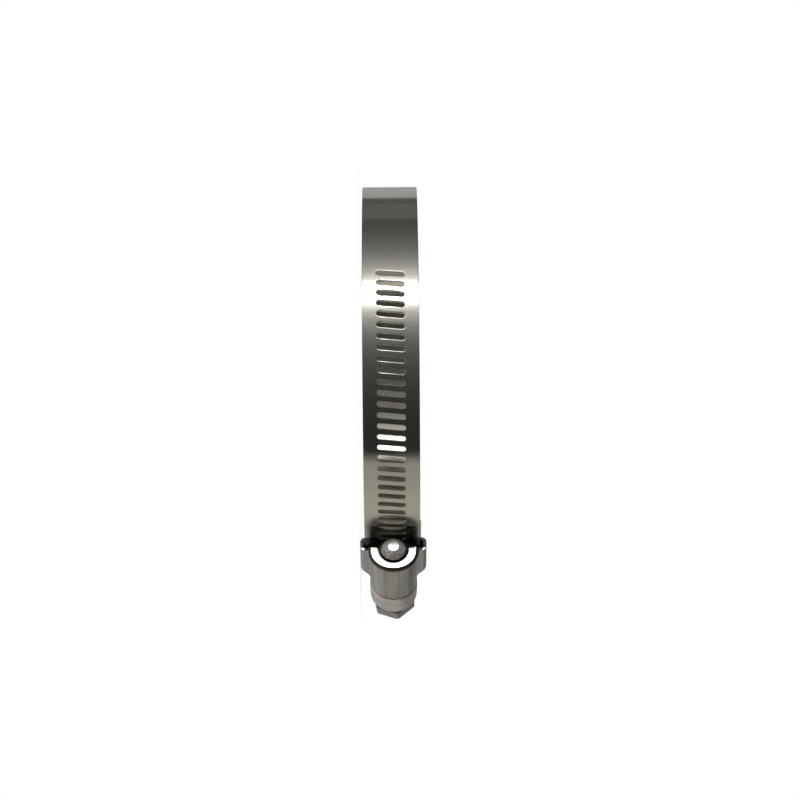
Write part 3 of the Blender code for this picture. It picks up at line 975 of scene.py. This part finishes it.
        def on_fold(spot: Vector) -> bool:
            """Say whether a place lies on one of the folds."""
            high, out = self.height_of(spot), abs(self.aside_of(spot))
            return any(abs(high - fold[0]) < close and abs(out - fold[1]) < close for fold in self.folds)

        with bench(piece, Pick.EDGE):
            choose(piece, Pick.EDGE, on_fold)
            keep_lengthwise(piece)
            bpy.ops.mesh.bevel(offset=self.bend, segments=6, affect="EDGES")

    def is_waste(self, spot: Vector) -> bool:
        """Say whether a place lies on what is trimmed off the sides.

        Args:
            spot: The place.

        Returns:
            True if it lies before or behind the trimmed side at its height.
        """
        high, along, fold = self.height_of(spot), self.along_of(spot), self.fold_end
        side_end, first, last = self.shoulder + self.bend, self.ear_start, self.ear_end
        if high > self.foot_height:
            return False
        if high > side_end:
            share = (self.foot_height - high) / (self.foot_height - side_end)
            first = fold + (self.ear_start - fold) * share
            last = self.dome_length + (self.ear_end + self.rear_slant - self.dome_length) * share
        elif high > self.shoulder - self.bend:
            share = (self.ear_half_span - abs(self.aside_of(spot))) / (self.ear_half_span - self.dome_radius)
            last = self.ear_end + self.rear_slant * min(max(share, 0.0), 1.0)
        return along < first or along > last

    def trim(self, piece: Object) -> None:
        """Cut the ears to length, and slant the edges in front of them and behind them.

        Args:
            piece: The housing's open sheet.
        """
        slack, lowest = NEAR * 20, -1.0
        side_end, ear_top, foot = self.shoulder + self.bend, self.shoulder - self.bend, self.foot_height
        front_slope = Vector((self.ear_start - self.fold_end, foot - side_end, 0))
        rear_slope = Vector((self.ear_end + self.rear_slant - self.dome_length, foot - side_end, 0))
        cuts = [
            (lowest, side_end, 0, self.at(0, self.ear_start, 0), ALONG_SCREW),
            (lowest, ear_top, 0, self.at(0, self.ear_end, 0), ALONG_SCREW),
            (side_end, foot, 0, self.at(foot, self.fold_end, 0), front_slope),
            (side_end, foot, 0, self.at(foot, self.dome_length, 0), rear_slope),
        ]
        for side in (1, -1):
            shoulder_slope = Vector((0, self.ear_half_span - self.dome_radius, side * self.rear_slant))
            ear_corner = self.at(0, self.ear_end, side * self.ear_half_span)
            cuts.append((ear_top, side_end, side, ear_corner, shoulder_slope))
        with bench(piece, Pick.FACE):
            for low, high, side, place, normal in cuts:
                choose(
                    piece,
                    Pick.FACE,
                    lambda spot: low - slack < self.height_of(spot) < high + slack
                    and self.aside_of(spot) * side > -slack,
                )
                slice_across(place, normal)
            choose(piece, Pick.FACE, self.is_waste, middle=True)
            bpy.ops.mesh.delete(type="FACE")

    def flare_at(self, along: float) -> float:
        """Return how much wider the housing is, on each side, at a distance along the screw."""
        share = min(max(along / self.dome_length, 0.0), 1.0)
        return self.front_flare * (1.0 - share * share)

    def slice_dome(self, piece: Object) -> list[float]:
        """Slice the dome into rows that can follow the flare.

        Args:
            piece: The housing's open sheet, in edit mode.

        Returns:
            Where the rows of points lie along the screw.
        """
        step = (self.dome_length - self.fold_end) / self.flare_rows
        for along in [self.fold_shade_end] + [self.fold_end + step * k for k in range(1, self.flare_rows)]:
            choose_all()
            slice_across(self.at(0, along, 0))
        rows: list[float] = []
        for along in sorted(self.along_of(vert.co) for vert in bmesh.from_edit_mesh(piece.data).verts):
            if not rows or along > rows[-1] + NEAR * 3:
                rows.append(along)
        return [along for along in rows if along <= self.dome_length]

    def widen_front(self, piece: Object) -> None:
        """Spread the dome and its sides towards the front wall.

        Args:
            piece: The housing's open sheet.
        """
        slack, split = 0.0001, self.foot_height - NEAR * 20
        dome_rim, centre = self.dome_radius - self.front_bend - slack, self.at(self.sizes.axis_height, 0, 0)
        inner, outer = self.dome_radius - slack, self.ear_half_span - self.bend - slack
        with bench(piece, Pick.FACE):
            for row in self.slice_dome(piece):
                flare = self.flare_at(max(row, self.fold_end))

                def in_row(spot: Vector) -> bool:
                    """Say whether a place lies in this row."""
                    return -NEAR < self.along_of(spot) - row < NEAR * 3

                def on_dome(spot: Vector) -> bool:
                    """Say whether a place lies in this row of the dome."""
                    return in_row(spot) and self.height_of(spot) > split and self.out_of(spot) > dome_rim

                if choose(piece, Pick.VERT, on_dome):
                    stretch = (1, 1, 1 + flare / self.dome_radius)
                    bpy.ops.transform.resize(value=stretch, center_override=centre)
                for side in (1, -1):

                    def on_side(spot: Vector) -> bool:
                        """Say whether a place lies in this row of the side wall or the shoulder."""
                        low = self.height_of(spot) < split
                        return in_row(spot) and low and inner < self.aside_of(spot) * side < outer

                    if choose(piece, Pick.VERT, on_side) and flare:
                        bpy.ops.transform.translate(value=(0, 0, side * flare))

    def draw_neck(self, piece: Object) -> None:
        """Press the groove behind the dome and taper the neck.

        Args:
            piece: The housing's open sheet.
        """
        lowest, centre = self.foot_height - NEAR * 20, self.at(self.sizes.axis_height, 0, 0)
        rows = [(self.dome_length + self.neck_length * share, inward) for share, inward in self.neck_rows]

        with bench(piece, Pick.FACE):
            for row, _ in rows[:-1]:
                choose(piece, Pick.FACE, lambda spot: self.height_of(spot) > lowest)
                slice_across(self.at(0, row, 0))
            for row, inward in rows:

                def in_row(spot: Vector) -> bool:
                    """Say whether a place lies in this row of the dome or the neck."""
                    return abs(self.along_of(spot) - row) < NEAR * 5 and self.height_of(spot) > lowest

                choose(piece, Pick.VERT, in_row)
                shrink = 1 - inward / self.dome_radius
                bpy.ops.transform.resize(value=(shrink, 1, shrink), center_override=centre)

    def nib_tool(self, side: int) -> Object:
        """Make the crimped nib that sits in one edge notch of the fixed end.

        Args:
            side: 1 or -1, for the side that it lies on.

        Returns:
            The nib.
        """
        along, length, reach = self.nib
        inner = self.sizes.band_width / 2 - reach
        low, high = self.hem, -self.sizes.layer_step
        tool = new_piece("nib")
        with bench(tool, Pick.EDGE):
            place = self.at((low + high) / 2, along, side * (inner + self.ear_half_span) / 2)
            add_block(place, (high - low, length, self.ear_half_span - inner))
            bpy.ops.mesh.bevel(offset=self.ease, segments=2, affect="EDGES")
        return tool

    def build(self) -> Object:
        """Draw, fold, trim and thicken the sheet.

        Returns:
            The finished housing.
        """
        piece = new_piece("housing_steel")
        with bench(piece):
            self.section(piece)
            choose_all()
            draw_out((0, self.dome_length + self.neck_length - self.sheet / 2, 0))
        for step in (self.front_wall, self.fold_sides, self.trim, self.widen_front, self.draw_neck):
            step(piece)
        with bench(piece):
            face_outwards(NEAR * 3)
        for finish in self.finishes:
            piece.data.materials.append(finish.material())
        # The inner side of the sheet takes the second finish, painted shade.
        finish_modifier(
            piece, "SOLIDIFY", thickness=self.sheet, offset=0.0, use_even_offset=True, material_offset=1
        )
        for side in (1, -1):
            combine(piece, self.nib_tool(side), "UNION")
        sharp = math.radians(50)
        finish_modifier(piece, "BEVEL", width=self.ease, segments=2, limit_method="ANGLE", angle_limit=sharp)
        smooth(piece)
        return piece

    def finish_of(self, face: MeshPolygon) -> Steel | None:
        """Say which finish a face of the sheet's outside has.

        Args:
            face: The face.

        Returns:
            Its finish, or None for a face inside or a plain one outside.
        """
        if face.material_index != 0:
            return None
        spot, forward = face.center, -face.normal.y
        along, high, out = self.along_of(spot), self.height_of(spot), self.out_of(spot)
        # Below the feet: painted shade on the forward-facing cut edges, with the lit corners at the top of
        # the ears left out.
        if high < self.foot_height - self.sheet:
            up, aside = self.corner_share
            over = high > self.shoulder - self.bend * up
            at_corner = over and abs(self.aside_of(spot)) > self.ear_half_span - self.bend * aside
            return SHEARED_EDGE_SHADE if forward > LOOKS and not at_corner else None
        # Painted highlight on the flat front wall.
        if forward > FACES and along < NEAR * 30:
            return WALL_AND_TIP_HIGHLIGHT
        # Painted shade on the front fold.
        if along < self.fold_shade_end and out > self.dome_radius - self.front_bend:
            return FOLD_SHADE
        # Painted reflection on the collar.
        if along > self.dome_length + self.neck_length * self.collar_start:
            return COLLAR_REFLECTION
        # Painted shade in the groove.
        return GROOVE_SHADE if along > self.dome_length + self.neck_length * self.groove_start else None

    def dress(self, piece: Object) -> None:
        """Paint the highlight on the front wall, the shade on its fold, on the cut edges and in the groove,
        and the reflection on the collar, and hang it.

        Args:
            piece: The finished housing.
        """
        paint(piece, self.finishes, self.finish_of)
        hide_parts("housing")
        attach(piece, "clamp")


@dataclass
class WormScrew:
    """The worm with its hex head.

    Attributes:
        sizes: The shared sizes.
        thread_radius: The radius over the thread.
        thread_depth: The thread's depth.
        crest: The width of the thread's crest.
        foot_extra: How much wider the thread's foot is.
        sunk: How far the thread's foot sinks into the core.
        thread_start: Where the thread starts along the screw.
        thread_end: Where it ends.
        thread_turns: How many turns are swept before the thread is cut to length.
        run_out: The length over which the thread fades at each end.
        step: How far the slopes beside the thread's core spread along the screw.
        tip_radius: The radius of the tip's flat end.
        tip_length: The length of the tip's cone.
        journal_radius: The radius of the journal in the front wall.
        neck_radius: The radius of the shank in the neck.
        head_start: Where the washer face starts.
        washer_radius: The washer face's radius.
        washer_length: The washer face's length.
        across_flats: The hex head's size.
        hex_length: The hex head's length.
        chamfer: The length of the hex head's chamfer.
        hex_end_radius: The radius of the circle where that chamfer meets the end.
        hex_turn: How far the hex head is turned.
        slot_width: The driver slot's width.
        slot_depth: The driver slot's depth.
        slot_turn: How far the driver slot is turned.
        phase: Where along the screw the thread passes the band's side.
        ease: The rounding of the hex head's corners and of the thread's.
        corner_round: The rounding of the core's corners.
        shade_end: Where the painted shadow under the collar ends on the head, along the screw.
    """

    sizes: ClampSizes
    thread_radius: float = 0.0055
    thread_depth: float = 0.0012
    crest: float = 0.0006
    foot_extra: float = 0.0005
    sunk: float = 0.0004
    thread_start: float = 0.0014
    thread_end: float = 0.0152
    thread_turns: int = 6
    run_out: float = 0.0011
    step: float = 0.0002
    tip_radius: float = 0.0016
    tip_length: float = 0.0021
    journal_radius: float = 0.0035
    neck_radius: float = 0.0041
    head_start: float = 0.0253
    washer_radius: float = 0.0060
    washer_length: float = 0.0006
    across_flats: float = 0.0111
    hex_length: float = 0.0048
    chamfer: float = 0.0004
    hex_end_radius: float = 0.0061
    hex_turn: float = 19.0
    slot_width: float = 0.0013
    slot_depth: float = 0.0019
    slot_turn: float = 4.0
    phase: float = 0.0
    ease: float = 0.00012
    corner_round: float = 0.00010
    shade_end: float = 0.0274

    def thread(self) -> Object:
        """Sweep the thread's section up the screw and face its ends like a chamfered blank.

        Returns:
            The thread on an axis through the origin.
        """
        top, pitch = self.thread_radius, self.sizes.slot_pitch
        root = top - self.thread_depth
        low = root - self.sunk
        foot = self.crest + self.foot_extra + self.step
        start = self.phase - pitch * math.ceil((self.phase - self.thread_start) / pitch + 1)
        bar = new_piece("thread_bar")
        with bench(bar):
            bpy.ops.mesh.primitive_plane_add(size=1.0, location=(0, 0, 0))
            bpy.ops.transform.resize(value=(top - low, foot, 1))
            bpy.ops.transform.translate(value=(-(top + low) / 2, start, 0))
            choose(bar, Pick.VERT, lambda spot: spot.x < -root)
            bpy.ops.transform.resize(value=(1, self.crest / foot, 1), center_override=(0, start, 0))
            bpy.ops.mesh.bevel(offset=self.ease, segments=2, affect="VERTICES")
            bpy.ops.mesh.select_mode(type="FACE")
            choose_all()
            bpy.ops.mesh.delete(type="ONLY_FACE")
        sweep = {"axis": "Y", "angle": FULL_TURN, "screw_offset": pitch, "iterations": self.thread_turns}
        finish_modifier(bar, "SCREW", steps=LATHE_STEPS // 2, render_steps=LATHE_STEPS // 2, **sweep)
        with bench(bar, Pick.EDGE):
            bpy.ops.mesh.select_non_manifold()
            bpy.ops.mesh.fill_holes(sides=0)
            face_outwards()
        over, under = top + 0.00005, root - 0.0003
        profile = [
            (self.thread_start, 0.0),
            (self.thread_start, under),
            (self.thread_start + self.run_out, over),
            (self.thread_end - self.run_out, over),
            (self.thread_end, under),
            (self.thread_end, 0.0),
        ]
        combine(bar, turned("thread_blank", profile, ARC_STEPS), "INTERSECT")
        return bar

    def head(self, start: float, end: float) -> Object:
        """Make the hex head with eased corners and a turned chamfer.

        Args:
            start: Where it starts along the screw.
            end: Where it ends.

        Returns:
            The head on an axis through the origin.
        """
        corner, middle = self.across_flats / 2 / math.cos(math.pi / 6), (start + end) / 2
        piece = new_piece("hex_head")
        with bench(piece):
            bpy.ops.mesh.primitive_cylinder_add(
                vertices=6,
                radius=corner,
                depth=end - start,
                location=(0, middle, 0),
                rotation=(QUARTER_TURN, 0, 0),
            )
            choose(piece, Pick.EDGE, lambda spot: abs(spot.y - middle) < NEAR, middle=True)
            bpy.ops.mesh.bevel(offset=self.ease, segments=3, affect="EDGES")
        turn_mesh(piece, self.hex_turn)
        before, clear = start - 0.001, corner + 0.0001
        profile = [
            (before, 0.0),
            (before, corner - 0.0004),
            (start + 0.0003, clear),
            (end - self.chamfer, clear),
            (end, self.hex_end_radius),
            (end, 0.0),
        ]
        combine(piece, turned("hex_limit", profile, LATHE_STEPS), "INTERSECT")
        return piece

    def slot_cutter(self, end: float) -> Object:
        """Make the cutter for the driver slot.

        Args:
            end: Where the hex head ends along the screw.

        Returns:
            The cutter.
        """
        cutter, length, width = new_piece("slot_cutter"), 0.004, 0.02
        with bench(cutter):
            middle = (0, end - self.slot_depth + length / 2, 0)
            add_block(middle, (self.slot_width, length, width))
        turn_mesh(cutter, self.slot_turn)
        return cutter

    def build(self) -> Object:
        """Turn the core, add the thread and the head, and cut the driver slot.

        Returns:
            The finished screw.
        """
        root, neck = self.thread_radius - self.thread_depth, self.neck_radius
        hex_start = self.head_start + self.washer_length
        end, inside_head = hex_start + self.hex_length, hex_start + 0.0010
        profile = [
            (-self.tip_length, 0.0),
            (-self.tip_length, self.tip_radius),
            (0.0, self.journal_radius),
            (self.thread_start - self.step, self.journal_radius),
            (self.thread_start + self.step, root),
            (self.thread_end, root),
            (self.thread_end + self.step, neck),
            (self.head_start, neck),
            (self.head_start, self.washer_radius),
            (hex_start, self.washer_radius),
            (hex_start, neck),
            (inside_head, neck),
            (inside_head, 0.0),
        ]
        piece = turned("screw_steel", profile, LATHE_STEPS, rounding=self.corner_round)
        combine(piece, self.thread(), "UNION")
        combine(piece, self.head(hex_start - self.step, end), "UNION")
        combine(piece, self.slot_cutter(end), "DIFFERENCE")
        with bench(piece):
            choose_all()
            bpy.ops.transform.translate(value=self.sizes.screw_axis)
            slice_across(self.sizes.screw_axis + self.shade_end * ALONG_SCREW)
        smooth(piece)
        return piece

    def finish_of(self, face: MeshPolygon) -> Steel:
        """Say which finish a face has.

        Args:
            face: The face.

        Returns:
            Its finish.
        """
        along = face.center.y - self.sizes.screw_axis.y
        # Painted highlight on the tip's flat end.
        if along < NEAR * 5 - self.tip_length:
            return WALL_AND_TIP_HIGHLIGHT
        # Painted highlight on the tip's cone.
        if along < NEAR * 20:
            return FACED_HIGHLIGHT
        # Painted shade on the thread inside the housing, and painted shadow on the head just behind the
        # collar.
        in_thread = along < self.thread_end + self.step * 1.5
        return INSIDE_SHADE if in_thread or self.head_start < along < self.shade_end else TURNED

    def dress(self, piece: Object) -> None:
        """Finish the screw and hang it on its own body.

        Args:
            piece: The finished screw.
        """
        paint(piece, (TURNED, INSIDE_SHADE, WALL_AND_TIP_HIGHLIGHT, FACED_HIGHLIGHT), self.finish_of)
        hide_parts("worm_screw")
        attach(piece, "screw")


# Floor, light and camera


@dataclass(frozen=True)
class Step:
    """One smooth step in the level of the surroundings.

    Attributes:
        start: Where it starts.
        end: Where it ends.
        change: By how much it changes the level.
    """

    start: float
    end: float
    change: float

    def level(self, wiring: Wiring, value: object, base: object = 0.0) -> NodeSocket:
        """Return the output of a base level with this step added.

        Args:
            wiring: Where the nodes go.
            value: The socket that the step's start and end are compared with.
            base: The level before the step.

        Returns:
            The level's output.
        """
        return wiring.math("MULTIPLY_ADD", wiring.rise(value, (self.start, self.end)), self.change, base)


@dataclass
class Studio:
    """The floor, the soft light and the camera.

    Angles of the surroundings are taken from the key's direction, towards the picture's top. Heights are
    those of a direction's unit vector, and so are the places behind the clamp.

    Attributes:
        sizes: The shared sizes.
        camera_turn: The angle of the camera's direction below +X, seen from above.
        distance: How far the camera stands from the ring's middle.
        scale: Pixels per metre at that distance.
        frame_width: The picture's width in pixels.
        aim_across: How many pixels the picture's middle lies to the right of the ring's middle.
        aim_down: How many pixels it lies below it.
        roll: How far the camera is rolled.
        sensor: The width of the camera's sensor in millimetres.
        floor_radius: The floor's radius.
        floor_white: How white the floor looks near the clamp, and how it rises to full white.
        key_turn: Where the tall soft light, the key, stands from the camera's direction.
        key_level: The level of its soft edge.
        key_width: How wide that edge is.
        key_dark_side: How much darker it is on its lower side.
        key_bright_side: How much brighter it is on its upper side, level with the clamp.
        key_bright_end: How much of that is lost above and below.
        core: The key's bright middle, by the angle off it.
        core_lean: How far the middle lies to one side above and below.
        level_band: Between which heights the key changes from level with the clamp to above or below it.
        steps: The glow beside the key, the pale walls behind the clamp and the screens between them.
        back: Where the walls' own light above and below starts and ends, behind the clamp.
        top: The level above the walls.
        top_back: How much brighter that is behind the clamp.
        bottom: The level below the walls.
        bottom_back: How much brighter that is behind the clamp.
        plain_level: The level that rough surfaces see.
        warm_edges: Between which angles the lower wall turns warm.
        warm_tint: Its tint.
        lamp_place: Where the large lamp hangs.
        lamp_size: Its width.
        lamp_power: Its power in watts.
    """

    sizes: ClampSizes
    camera_turn: float = 56.9
    distance: float = 0.79
    scale: float = 3367.0
    frame_width: float = 800.0
    aim_across: float = 8.8
    aim_down: float = 26.8
    roll: float = -0.455
    sensor: float = 36.0
    floor_radius: float = 4.0
    floor_white: tuple[float, Step] = (0.8, Step(0.08, 0.26, 0.2))
    key_turn: float = 49.0
    key_level: float = 2.05
    key_width: float = 11.1
    key_dark_side: Step = Step(-2.0, -12.0, -0.25)
    key_bright_side: Step = Step(2.0, 9.0, 0.7)
    key_bright_end: float = -1.6
    core: Step = Step(7.0, 4.0, 5.0)
    core_lean: float = -2.4
    level_band: tuple[float, float] = (0.05, 0.14)
    steps: tuple[Step, ...] = (
        Step(58.0, 63.5, 0.08),
        Step(76.0, 84.0, -0.035),
        Step(87.4, 88.9, 0.33),
        Step(104.0, 116.0, -0.06),
        Step(-97.0, -107.0, 0.36),
        Step(-105.0, -140.0, 0.10),
        Step(-146.0, -158.0, -0.14),
    )
    back: tuple[float, float] = (0.1, -0.5)
    top: Step = Step(0.16, 0.62, 0.08)
    top_back: float = 0.07
    bottom: Step = Step(-0.30, -0.80, 0.20)
    bottom_back: float = 0.30
    plain_level: float = 0.85
    warm_edges: tuple[float, float] = (-94.0, -103.0)
    warm_tint: tuple[float, float, float, float] = (1.0, 0.968, 0.90, 1.0)
    lamp_place: tuple[float, float, float] = (-0.15, 0.10, 0.9)
    lamp_size: float = 0.6
    lamp_power: float = 4.0

    def camera(self) -> None:
        """Place the camera in the plane of the ring, with the ring's axis across the picture."""
        turn = math.radians(self.camera_turn)
        centre = self.sizes.ring_centre
        towards = Vector((math.cos(turn), -math.sin(turn), 0))
        up_hint = Vector((-math.sin(turn), -math.cos(turn), 0))
        aim = centre + Vector((0, 0, self.aim_across / self.scale)) - up_hint * (self.aim_down / self.scale)
        spot = centre + towards * self.distance
        ahead = (aim - spot).normalized()
        right = ahead.cross(up_hint).normalized()
        turned_to = Matrix((right, right.cross(ahead).normalized(), -ahead)).transposed().to_4x4()
        data = bpy.data.cameras.new("camera")
        data.sensor_width = self.sensor
        data.lens = self.sensor * self.scale * self.distance / self.frame_width
        data.clip_start = 0.01
        camera = bpy.data.objects.new("camera", data)
        bpy.context.scene.collection.objects.link(camera)
        rolled = Matrix.Rotation(math.radians(self.roll), 4, "Z")
        camera.matrix_world = Matrix.Translation(spot) @ turned_to @ rolled
        bpy.context.scene.camera = camera

    def floor(self) -> None:
        """Lay a plain pale floor that keeps the clamp's shadow and turns white away from it."""
        floor = new_piece("floor")
        with bench(floor):
            bpy.ops.mesh.primitive_circle_add(
                vertices=LATHE_STEPS, radius=self.floor_radius, fill_type="NGON", location=(0, 0, 0)
            )
        material = bpy.data.materials.new("floor_paint")
        material.use_nodes = True
        material.node_tree.nodes.clear()
        wiring = Wiring(material.node_tree)
        paint_coat = wiring.node("BsdfDiffuse", {"Color": (0.86, 0.86, 0.86, 1.0)})
        glow = wiring.node("Emission", {"Strength": 1.0})
        place = wiring.node("TexCoord").outputs["Object"]
        away = wiring.node("VectorMath", {0: place}, operation="LENGTH").outputs["Value"]
        near_white, rise = self.floor_white
        is_camera = wiring.node("LightPath").outputs["Is Camera Ray"]
        share = wiring.math("MULTIPLY", is_camera, rise.level(wiring, away, near_white))
        mix = wiring.node("MixShader", {0: share, 1: paint_coat.outputs[0], 2: glow.outputs[0]})
        wiring.node("OutputMaterial", {"Surface": mix.outputs[0]})
        floor.data.materials.append(material)
        floor.visible_glossy = False

    def reflected_level(self, wiring: Wiring, angle: NodeSocket, direction: Node) -> NodeSocket:
        """Work out how bright the surroundings look in a reflection.

        Args:
            wiring: Where the nodes go.
            angle: The angle from the key's direction.
            direction: The node that gives a direction's X, Y and Z.

        Returns:
            The level's output.
        """
        height = direction.outputs["Z"]
        away = wiring.rise(wiring.math("ABSOLUTE", height), self.level_band)
        share = wiring.math("DIVIDE", angle, self.key_width)
        lobe = wiring.math("DIVIDE", self.key_level, wiring.math("MULTIPLY_ADD", share, share, 1.0))
        lobe = wiring.math("MULTIPLY", lobe, self.key_dark_side.level(wiring, angle, 1.0))
        side = self.key_bright_side
        brighter = wiring.math("MULTIPLY_ADD", away, self.key_bright_end, side.change)
        upper = wiring.math("MULTIPLY_ADD", wiring.rise(angle, (side.start, side.end)), brighter, 1.0)
        level = wiring.math("MULTIPLY", lobe, upper)
        off = wiring.math("ABSOLUTE", wiring.math("MULTIPLY_ADD", away, self.core_lean, angle))
        level = self.core.level(wiring, off, level)
        for step in self.steps:
            level = step.level(wiring, angle, level)

        behind = wiring.rise(direction.outputs["X"], self.back)
        for end, more in ((self.top, self.top_back), (self.bottom, self.bottom_back)):
            share = wiring.rise(height, (end.start, end.end))
            other = wiring.math("MULTIPLY_ADD", behind, more, end.change)
            rest = wiring.math("MULTIPLY", level, wiring.math("SUBTRACT", 1.0, share))
            level = wiring.math("MULTIPLY_ADD", other, share, rest)
        return level

    def surroundings(self) -> None:
        """Hang a tall soft light, dark screens and pale walls round the clamp, on white."""
        world = bpy.data.worlds.new("studio")
        bpy.context.scene.world = world
        world.use_nodes = True
        world.cycles.sampling_method = "NONE"
        world.node_tree.nodes.clear()
        wiring = Wiring(world.node_tree)
        place = wiring.node("TexCoord").outputs["Generated"]
        key_turn = (0.0, 0.0, math.radians(self.camera_turn + self.key_turn))
        turned_to = wiring.node("Mapping", {"Vector": place, "Rotation": key_turn}).outputs["Vector"]
        direction = wiring.node("SeparateXYZ", {0: turned_to})
        across = wiring.math("MULTIPLY", direction.outputs["Y"], -1.0)
        angle = wiring.math("DEGREES", wiring.math("ARCTAN2", across, direction.outputs["X"]))

        rays = wiring.node("LightPath").outputs
        level = self.reflected_level(wiring, angle, direction)
        glossy = wiring.math("MULTIPLY", rays["Is Glossy Ray"], level)
        plain = wiring.math("SUBTRACT", 1.0, rays["Is Glossy Ray"])
        strength = wiring.math("MULTIPLY_ADD", plain, self.plain_level, glossy)
        unseen = wiring.math("SUBTRACT", 1.0, rays["Is Camera Ray"])
        on_white = wiring.math("MULTIPLY_ADD", strength, unseen, rays["Is Camera Ray"])
        warm_share = wiring.math("MULTIPLY", wiring.rise(angle, self.warm_edges), rays["Is Glossy Ray"])
        colour = wiring.mix(warm_share, (1.0, 1.0, 1.0, 1.0), self.warm_tint)
        background = wiring.node("Background", {"Color": colour, "Strength": on_white})
        wiring.node("OutputWorld", {"Surface": background.outputs[0]})

    def lamp(self) -> None:
        """Hang one large soft lamp above the floor."""
        data = bpy.data.lights.new("top_softbox", "AREA")
        data.size = self.lamp_size
        data.energy = self.lamp_power
        lamp = bpy.data.objects.new("top_softbox", data)
        bpy.context.scene.collection.objects.link(lamp)
        lamp.location = self.lamp_place
        lamp.rotation_euler = (-lamp.location).to_track_quat("-Z", "Y").to_euler()
        lamp.visible_glossy = False
        lamp.visible_camera = False

    def set_up(self) -> None:
        """Set up the camera, the floor and the light."""
        bpy.context.scene.view_settings.view_transform = "Standard"
        for step in (self.camera, self.floor, self.surroundings, self.lamp):
            step()


def main() -> None:
    """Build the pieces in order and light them."""
    logging.basicConfig(level=logging.INFO, format="%(name)s: %(message)s")
    sizes = ClampSizes(screw_axis=Vector(frame["joints"][0]["pos_m"]))
    band = Band(sizes)
    housing = Housing(sizes)
    screw = WormScrew(sizes, phase=band.first_thread_place())
    for part in (band, housing, screw):
        piece = part.build()
        part.dress(piece)
        LOG.info("%s: %d faces", piece.name, len(piece.data.polygons))
    Studio(sizes).set_up()


if __name__ == "__main__":
    main()
